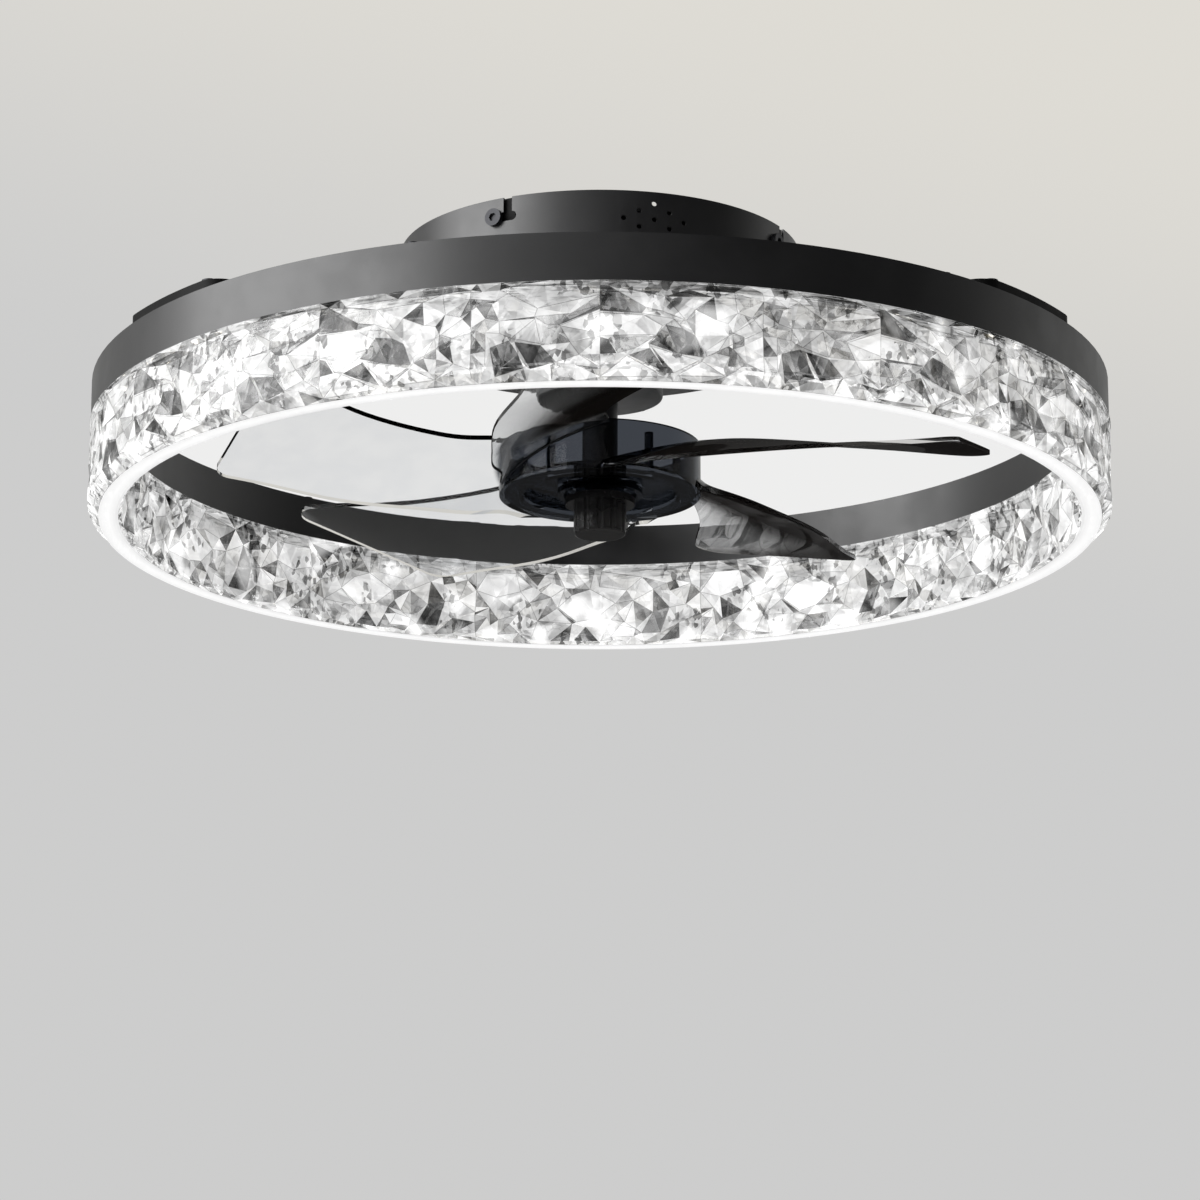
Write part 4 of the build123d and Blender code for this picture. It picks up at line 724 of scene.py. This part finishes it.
@dataclass
class FacetedWall:
    """A round wall of the crystal ring, cut into facets that repeat round it.

    Attributes:
        relief: how far the facets' corners step into the wall, in millimetres, positive for outwards.
        first_azimuth: where the first repeat starts, in degrees.
        direction: plus or minus one, the sense in which the motif's share runs.
        bevel: how far the wall's foot leans into the ring, in millimetres.
        lift: extra painted glow for its paler facets.
        clearness: how clear the facets are against the full value.
    """

    motif: FacetMotif
    radius: float
    relief: float
    first_azimuth: float
    direction: float
    bevel: float
    seed: int
    lift: float
    clearness: float

    def __post_init__(self) -> None:
        """Starts the wall's own random draws."""
        self.draw = np.random.default_rng(self.seed)

    def cut(self, length: float, height: float) -> Facets:
        """Cuts one repeat of the motif into triangles along its marks and cuts.

        Args:
            length: the repeat's length, in millimetres.
            height: the wall's faceted height, in millimetres.

        Returns:
            The cut repeat, with its points in shares.
        """
        motif = self.motif
        places: list[Point] = []
        lines: list[tuple[int, int]] = []
        outlines: list[list[int]] = []

        def keep(point: Point) -> int:
            """Gives a point's number, and adds it when it is new."""
            if point not in places:
                places.append(point)
            return places.index(point)

        bend = self.bevel / height
        rim = [step / motif.rim_steps for step in range(motif.rim_steps + 1)]
        seam = sorted({*motif.seam_points(), bend})
        border = [(share, 0.0) for share in rim] + [(1.0, share) for share in seam[1:]]
        border += [(share, 1.0) for share in rim[::-1][1:]] + [(0.0, share) for share in seam[::-1][1:]]
        for chain in (tuple(border), *motif.cuts):
            numbers = [keep(point) for point in chain]
            lines += [pair for pair in zip(numbers, numbers[1:]) if pair[0] != pair[1]]
        for share in rim[1:-1]:
            keep((share, bend))
        for mark in motif.marks:
            ends = zip(mark.outline, mark.outline[1:] + mark.outline[:1])
            left_turning = sum(a[0] * b[1] - b[0] * a[1] for a, b in ends) > 0
            outlines.append([keep(point) for point in mark.outline[::1 if left_turning else -1]])
        flat = [Vector((u * length, v * height)) for u, v in places]
        points, edges, corners, _, from_edges, from_faces = delaunay_2d_cdt(flat, lines, outlines, 0, MARGIN)
        cut_pairs = {tuple(sorted(edge)) for edge, origin in zip(edges, from_edges) if origin}
        corners = np.array(corners)
        sides = [[tuple(sorted((corner[(i + 1) % 3], corner[(i + 2) % 3]))) in cut_pairs for i in range(3)]
                 for corner in corners]
        marks = np.array([origin[0] if origin else -1 for origin in from_faces])
        shares = np.array([(p.x / length, p.y / height) for p in points])
        return Facets(shares, corners, marks, np.array(sides))

    def looks(self, facets: Facets, repeats: int) -> Part:
        """Chooses how each facet shows.

        Marked facets keep their gleam in every repeat, and the others draw one. The painted tone and
        glow vary a little from facet to facet.

        Args:
            facets: the cut repeat.
            repeats: how many times it goes round.

        Returns:
            Each facet's painted tone and glow, its clearness, shard strength and share of what the light
            casts.
        """
        kinds = list(Gleam)
        drawn = self.draw.choice(len(kinds), size=(repeats, len(facets.corners)), p=GLEAM_SHARES)
        order = np.array([kinds.index(mark.gleam) for mark in self.motif.marks])
        marked = facets.marks >= 0
        drawn[:, marked] = order[facets.marks[marked]]
        share = self.draw.random(drawn.shape)
        by_mark = self.draw.random((repeats, len(self.motif.marks)))
        share[:, marked] = by_mark[:, facets.marks[marked]]
        tone, glow, clear, depth = np.moveaxis(np.array([kind.value for kind in kinds])[drawn], -1, 0)
        change = LEAST_CHANGE + CHANGE_SPAN * share
        glow = glow * change + self.lift * np.clip((tone - LIFT_START) / LIFT_SPAN, 0.0, 1.0)
        return {"tone": (tone * change).reshape(-1), "glow": glow.reshape(-1),
                "clear": (clear * self.clearness).reshape(-1), "depth": depth.reshape(-1),
                "cast": np.ones(drawn.size)}

    def build(self, low: float, high: float, repeats: int) -> Part:
        """Carries the cut motif round the wall.

        A point's radius is the wall's radius plus the relief times a ripple that repeats with the
        motif and dies out at the upper edge and on the bevel. Below the bend the radius steps into
        the ring by as much as the point lies under it.

        Args:
            low: height of the facets' lower edge, in millimetres.
            high: height of their upper edge, in millimetres.
            repeats: how many times the motif goes round.

        Returns:
            Points and triangles, how each triangle shows, its edge distances and its map.
        """
        span = TURN / repeats
        length, height = self.radius * span, high - low
        facets = self.cut(length, height)
        u, v = facets.points.T
        sway = SWAY * np.sin(TURN * SWAY_ALONG * u + SWAY_UP * v)
        ripple = 0.5 + 0.5 * np.sin(TURN * WAVES_ALONG * u + WAVES_UP * v + sway)
        inside = (height * v > self.bevel + 10 * MARGIN) & (v < 1 - MARGIN)
        lean = np.copysign(np.maximum(self.bevel - height * v, 0.0), self.relief)
        turn = np.arange(repeats)[:, None]
        azimuth = math.radians(self.first_azimuth) + self.direction * span * (turn + u[None, :])
        radius = self.radius + lean + self.relief * ripple * inside
        points = polar(radius[None, :], azimuth, (low + height * v)[None, :])
        triangles = (facets.corners[None] + turn[..., None] * len(u)).reshape(-1, 3)
        sides = np.tile(facets.cut_sides, (repeats, 1))
        along = (turn + u[None, :]) * length
        flat = np.stack([along, np.broadcast_to(height * v, along.shape)], axis=-1).reshape(-1, 2)[triangles]
        return {"points": points, "faces": triangles, "distances": self.edge_distances(flat, sides),
                "across": self.turned_map(flat), **self.looks(facets, repeats)}

    def edge_distances(self, flat: Array, sides: Array) -> Array:
        """Works out how far corners lie from their triangle's sides. A side inside a facet is far."""
        edge = flat[:, [2, 0, 1]] - flat[:, [1, 2, 0]]
        double_area = np.abs(edge[:, 0, 0] * edge[:, 1, 1] - edge[:, 0, 1] * edge[:, 1, 0])
        heights = double_area[:, None] / np.maximum(np.linalg.norm(edge, axis=-1), SHORTEST)
        distances = np.zeros((len(flat), 3, 3))
        for side in range(3):
            distances[:, side, side] = heights[:, side]
            distances[~sides[:, side], :, side] = FAR_EDGE
        return distances

    def turned_map(self, flat: Array) -> Array:
        """Turns and shifts each triangle at random on the map that its pattern is drawn on."""
        angle = self.draw.random(len(flat)) * TURN
        shift = self.draw.random((len(flat), 1, 2)) * MAP_SHIFT
        cos, sin = np.cos(angle)[:, None], np.sin(angle)[:, None]
        middle = flat - flat.mean(axis=1, keepdims=True)
        return np.stack([middle[..., 0] * cos + middle[..., 1] * sin,
                         middle[..., 1] * cos - middle[..., 0] * sin], axis=-1) + shift


@dataclass(frozen=True)
class CrystalRing:
    """The clear faceted ring: an outer and an inner wall, a lit lower edge, a trough and six bosses.

    Lengths are in millimetres. A look gives a smooth part its painted tone, its painted glow and how clear it
    is.
    """

    outer_radius: float = 250.0
    inner_radius: float = 233.3
    top: float = -96.0
    bottom: float = -140.5
    outer_wall: float = 2.6
    inner_wall: float = 8.3
    floor: float = 7.5
    outer_bevel: float = 5.5
    inner_bevel: float = 1.5
    outer_relief: float = 1.6
    inner_relief: float = 4.0
    repeats: int = 12
    outer_start: float = 270.0
    inner_start: float = 106.6
    inner_lift: float = 0.05
    inner_clearness: float = 0.72
    boss_radius: float = 3.4
    boss_place: float = 244.5
    boss_top: float = -75.0
    boss_bottom: float = -99.0
    boss_azimuth: float = 10.0
    boss_count: int = 6
    boss_sides: int = 16
    boss_look: Triple = (0.97, 0.05, 0.90)
    trough_look: Triple = (0.97, 0.0, 1.0)
    edge_tint_and_painted_light: float = 0.30
    edge_clear: float = 0.12
    edge_points: int = 8
    edge_shares: tuple[float, ...] = (0.0, 0.15, 0.40, 0.62, 0.80, 1.0)
    edge_glows: tuple[float, ...] = (0.60, 0.66, 0.84, 0.90, 0.80, 0.62)

    def lower_edge(self) -> Array:
        """Lists radius and height across the flat lower edge, from the outer bevel to the inner."""
        outer, inner = self.outer_radius - self.outer_bevel, self.inner_radius + self.inner_bevel
        across = np.linspace(outer, inner, self.edge_points)
        return np.stack([across, np.full_like(across, self.bottom)], axis=1)

    def edge_look(self) -> tuple[float, Array, float]:
        """Gives the lower edge its look, a painted glow that is strongest between its middle and its inner
        side.
        """
        across = self.lower_edge()[:, 0]
        share = (self.outer_radius - (across[:-1] + across[1:]) / 2) / (self.outer_radius - self.inner_radius)
        return self.edge_tint_and_painted_light, np.interp(share, self.edge_shares, self.edge_glows), self.edge_clear

    def trough(self) -> Array:
        """Lists radius and height over both rims and round the trough, from the inner wall to the outer."""
        near, far = self.inner_radius + self.inner_wall, self.outer_radius - self.outer_wall
        floor = self.bottom + self.floor
        return np.array([[self.inner_radius, self.top], [near, self.top], [near, floor], [far, floor],
                         [far, self.top], [self.outer_radius, self.top]])

    def bosses(self) -> Part:
        """Makes the six screw bosses, each a round post whose section is carried from its foot to its top."""
        around = TURN * np.arange(self.boss_sides) / self.boss_sides
        at = np.radians(self.boss_azimuth) + TURN * np.arange(self.boss_count) / self.boss_count
        rings = []
        for radius, height in ((0.0, self.boss_bottom), (self.boss_radius, self.boss_bottom),
                               (self.boss_radius, self.boss_top), (0.0, self.boss_top)):
            x = self.boss_place * np.cos(at)[:, None] + radius * np.cos(around)
            y = self.boss_place * np.sin(at)[:, None] + radius * np.sin(around)
            rings.append(np.stack([x, y, np.full_like(x, height)], axis=-1))
        points = np.stack(rings, axis=1).reshape(-1, 3) * MM
        one = grid_faces(len(rings), self.boss_sides)
        first = np.arange(self.boss_count) * len(rings) * self.boss_sides
        faces = (one[None] + first[:, None, None]).reshape(-1, 4)
        return {"points": points, "faces": faces, **self.plain(len(faces), *self.boss_look)}

    def plain(self, count: int, tone: float, glow: float | Array, clear: float) -> Part:
        """Gives every face of a smooth part the same painted tone and clearness, and its painted glow."""
        looks = {"tone": tone, "glow": glow, "clear": clear, "depth": 0.0, "cast": 0.0}
        return {name: np.full(count, value) for name, value in looks.items()}

    def build(self) -> bpy.types.Object:
        """Makes the ring as one object, a closed shell with its bosses."""
        outer = FacetedWall(
            OUTER_MOTIF, self.outer_radius, -self.outer_relief, self.outer_start, direction=1.0,
            bevel=self.outer_bevel, seed=11, lift=0.0, clearness=1.0)
        inner = FacetedWall(
            INNER_MOTIF, self.inner_radius, self.inner_relief, self.inner_start, direction=-1.0,
            bevel=self.inner_bevel, seed=23, lift=self.inner_lift, clearness=self.inner_clearness)
        parts = [wall.build(self.bottom, self.top, self.repeats) for wall in (outer, inner)]
        parts.append(self.bosses())
        steps = self.repeats * OUTER_MOTIF.rim_steps
        inner_azimuth = math.radians(self.inner_start) - TURN * np.arange(steps)[::-1] / steps
        outer_azimuth = math.radians(self.outer_start) + TURN * np.arange(steps) / steps
        shift = int(np.argmin(np.abs(np.exp(1j * inner_azimuth) - np.exp(1j * outer_azimuth[0]))))
        inner_azimuth = np.roll(inner_azimuth, -shift)
        inner_azimuth += TURN * np.round((outer_azimuth - inner_azimuth) / TURN)
        for profile, start, end, look in (
            (self.lower_edge(), outer_azimuth, inner_azimuth, self.edge_look()),
            (self.trough(), inner_azimuth, outer_azimuth, self.trough_look),
        ):
            share = np.linspace(0.0, 1.0, len(profile))[:, None]
            azimuth = start[None, :] * (1 - share) + end[None, :] * share
            faces = grid_faces(len(profile), steps)
            tone, glow, clear = look
            glow = np.repeat(np.broadcast_to(glow, len(profile) - 1), steps)
            parts.append({"points": polar(profile[:, :1], azimuth, profile[:, 1:]), "faces": faces,
                          **self.plain(len(faces), tone, glow, clear)})
        offsets = np.cumsum([0] + [len(part["points"]) for part in parts[:-1]])
        numbered = [(part["faces"] + offset).tolist() for part, offset in zip(parts, offsets)]
        points = np.concatenate([part["points"] for part in parts])
        piece = make_mesh("crystal_facets", points, [face for block in numbered for face in block])
        self.paint(piece, parts)
        close_shell(piece)
        return piece

    def paint(self, piece: bpy.types.Object, parts: list[Part]) -> None:
        """Writes how each facet shows, its edge distances and its map onto the mesh.

        Args:
            piece: the ring's object.
            parts: what each part of the ring says of its faces.
        """
        mesh = piece.data
        for name in ("tone", "glow", "clear", "depth", "cast"):
            layer = mesh.attributes.new(name, "FLOAT", "FACE")
            layer.data.foreach_set("value", np.concatenate([part[name] for part in parts]))
        far = [part.get("distances", np.full((part["faces"].size, 3), FAR_EDGE)) for part in parts]
        flat = [part.get("across", np.zeros((part["faces"].size, 2))) for part in parts]
        edges = mesh.attributes.new("edge_distance", "FLOAT_VECTOR", "CORNER")
        edges.data.foreach_set("vector", np.concatenate([block.reshape(-1) for block in far]))
        corners = mesh.uv_layers.new(name="facet").uv
        corners.foreach_set("vector", np.concatenate([block.reshape(-1) for block in flat]))

    def dress(self) -> bpy.types.Object:
        """Builds the ring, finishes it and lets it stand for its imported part."""
        piece = self.build()
        piece.data.materials.append(FacetedCrystal().material("clear_crystal_facets"))
        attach(piece, "fixture")
        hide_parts("crystal_ring")
        return piece


class PackedParts:
    """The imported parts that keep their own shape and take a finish."""

    def dress(self) -> None:
        """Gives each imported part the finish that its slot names."""
        made: dict[str, bpy.types.Material] = {}
        finishes = FINISHES | {"led_light": LampFace(), "smoked_acrylic": SmokedAcrylic()}
        for name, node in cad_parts.items():
            for slot in node.material_slots:
                wanted = SPECIAL_FINISHES.get(name, slot.material.name.split(".")[0])
                if wanted not in finishes:
                    continue
                if wanted not in made:
                    made[wanted] = finishes[wanted].material(wanted + "_finish")
                slot.material = made[wanted]
                log.info("%s: %s", name, wanted)


@dataclass(frozen=True)
class Viewpoint:
    """The camera: below the fan and in front of it, looking up at it through a long lens."""

    place: Triple = (0.0, -2.124977, -0.727423)
    tilt: float = 104.54
    lens: float = 135.0
    sensor: float = 36.0
    sight: float = 50.0

    def build(self) -> None:
        """Makes the camera and lets the scene use it."""
        camera = bpy.data.objects.new("viewpoint", bpy.data.cameras.new("viewpoint"))
        camera.data.lens = self.lens
        camera.data.sensor_width = self.sensor
        camera.data.clip_end = self.sight
        camera.location = self.place
        camera.rotation_euler = (math.radians(self.tilt), 0.0, 0.0)
        bpy.context.scene.collection.objects.link(camera)
        bpy.context.scene.camera = camera


@dataclass(frozen=True)
class Studio:
    """A pale room: a soft lamp, a backdrop and a floor three metres under the ceiling.

    Lengths are in metres. The room's tones change with direction, and limits say from where to where.
    """

    floor_height: float = -3.05
    floor_radius: float = 6.0
    floor_sides: int = 96
    key_direction: Triple = (-0.88, -0.36, 0.32)
    key_distance: float = 1.9
    key_size: Point = (2.1, 1.2)
    key_power: float = 26.0
    aim_height: float = -0.08
    wall_tones: tuple[Colour, Colour] = ((0.610, 0.610, 0.608), (0.735, 0.715, 0.665))
    wall_lean: float = 0.25
    wall_limits: Range = (0.26, 0.40)
    pool_tone: Colour = (0.855, 0.855, 0.850)
    pool_size: Point = (0.1045, 0.0262)
    pool_height: float = 0.2817
    pool_limits: Range = (0.90, 1.05)
    pool_front: Range = (0.5, 0.8)
    side_light: Range = (0.75, 0.05)
    side_limits: Range = (-0.7, 0.4)
    back_tones: tuple[Colour, Colour] = ((0.06, 0.06, 0.06), (0.50, 0.50, 0.49))
    back_limits: Range = (-0.10, 0.10)
    turn_limits: Range = (-0.2, 0.5)

    def key_lamp(self) -> None:
        """Hangs the soft lamp, facing the fan."""
        light = bpy.data.lights.new("key", "AREA")
        light.shape = "RECTANGLE"
        light.size, light.size_y = self.key_size
        light.energy = self.key_power
        lamp = bpy.data.objects.new("key", light)
        direction = Vector(self.key_direction)
        lamp.location = direction.normalized() * self.key_distance + Vector((0.0, 0.0, self.aim_height))
        lamp.rotation_euler = (-direction).to_track_quat("-Z", "Y").to_euler()
        bpy.context.scene.collection.objects.link(lamp)

    def world(self) -> None:
        """Makes the room: an even tone behind the fan, and a dimmer one that lights it from all round."""
        world = bpy.data.worlds.new("room")
        world.use_nodes = True
        bpy.context.scene.world = world
        graph = Graph(world.node_tree)
        x, y, z = graph.split(graph.add("TexCoord").outputs["Generated"])
        rise = graph.spread(graph.plus(z, graph.times(x, self.wall_lean)), self.wall_limits)
        wall = graph.mix(rise, *self.wall_tones)
        wide, high = self.pool_size
        up = graph.math("DIVIDE", graph.less(z, self.pool_height), high)
        reach = graph.vector("LENGTH", graph.join(graph.math("DIVIDE", x, wide), up, 0.0))
        pool = graph.times(graph.spread(reach, self.pool_limits, 1.0, 0.0), graph.spread(y, self.pool_front))
        seen = graph.mix(pool, wall, self.pool_tone)
        ahead = graph.grey(graph.spread(x, self.side_limits, *self.side_light))
        behind = graph.mix(graph.spread(z, self.back_limits), *self.back_tones)
        ambient = graph.mix(graph.spread(y, self.turn_limits), ahead, behind)
        path = graph.add("LightPath").outputs
        direct = graph.math("MAXIMUM", path["Is Camera Ray"], path["Is Transmission Ray"])
        background = graph.fed("Background", graph.mix(direct, ambient, seen))
        graph.named("OutputWorld", {"Surface": background.outputs[0]})

    def floor(self) -> None:
        """Lays a round pale floor under the fan."""
        azimuth = TURN * np.arange(self.floor_sides) / self.floor_sides
        points = polar(np.array(self.floor_radius / MM), azimuth, np.array(self.floor_height / MM))
        disc = make_mesh("studio_floor", points, [list(range(self.floor_sides))])
        disc.data.materials.append(FloorPaint().material("studio_floor"))

    def build(self) -> None:
        """Sets up the room, its floor and its lamp."""
        bpy.context.scene.view_settings.view_transform = "Standard"
        self.world()
        self.floor()
        self.key_lamp()


def main() -> None:
    """Builds the fan's pieces in order, then the studio and the camera."""
    logging.basicConfig(level=logging.INFO, format="%(name)s: %(message)s")
    Viewpoint().build()
    PackedParts().dress()
    ring = CrystalRing().dress()
    log.info("%s: %d faces", ring.name, len(ring.data.polygons))
    Studio().build()


if __name__ == "__main__":
    main()
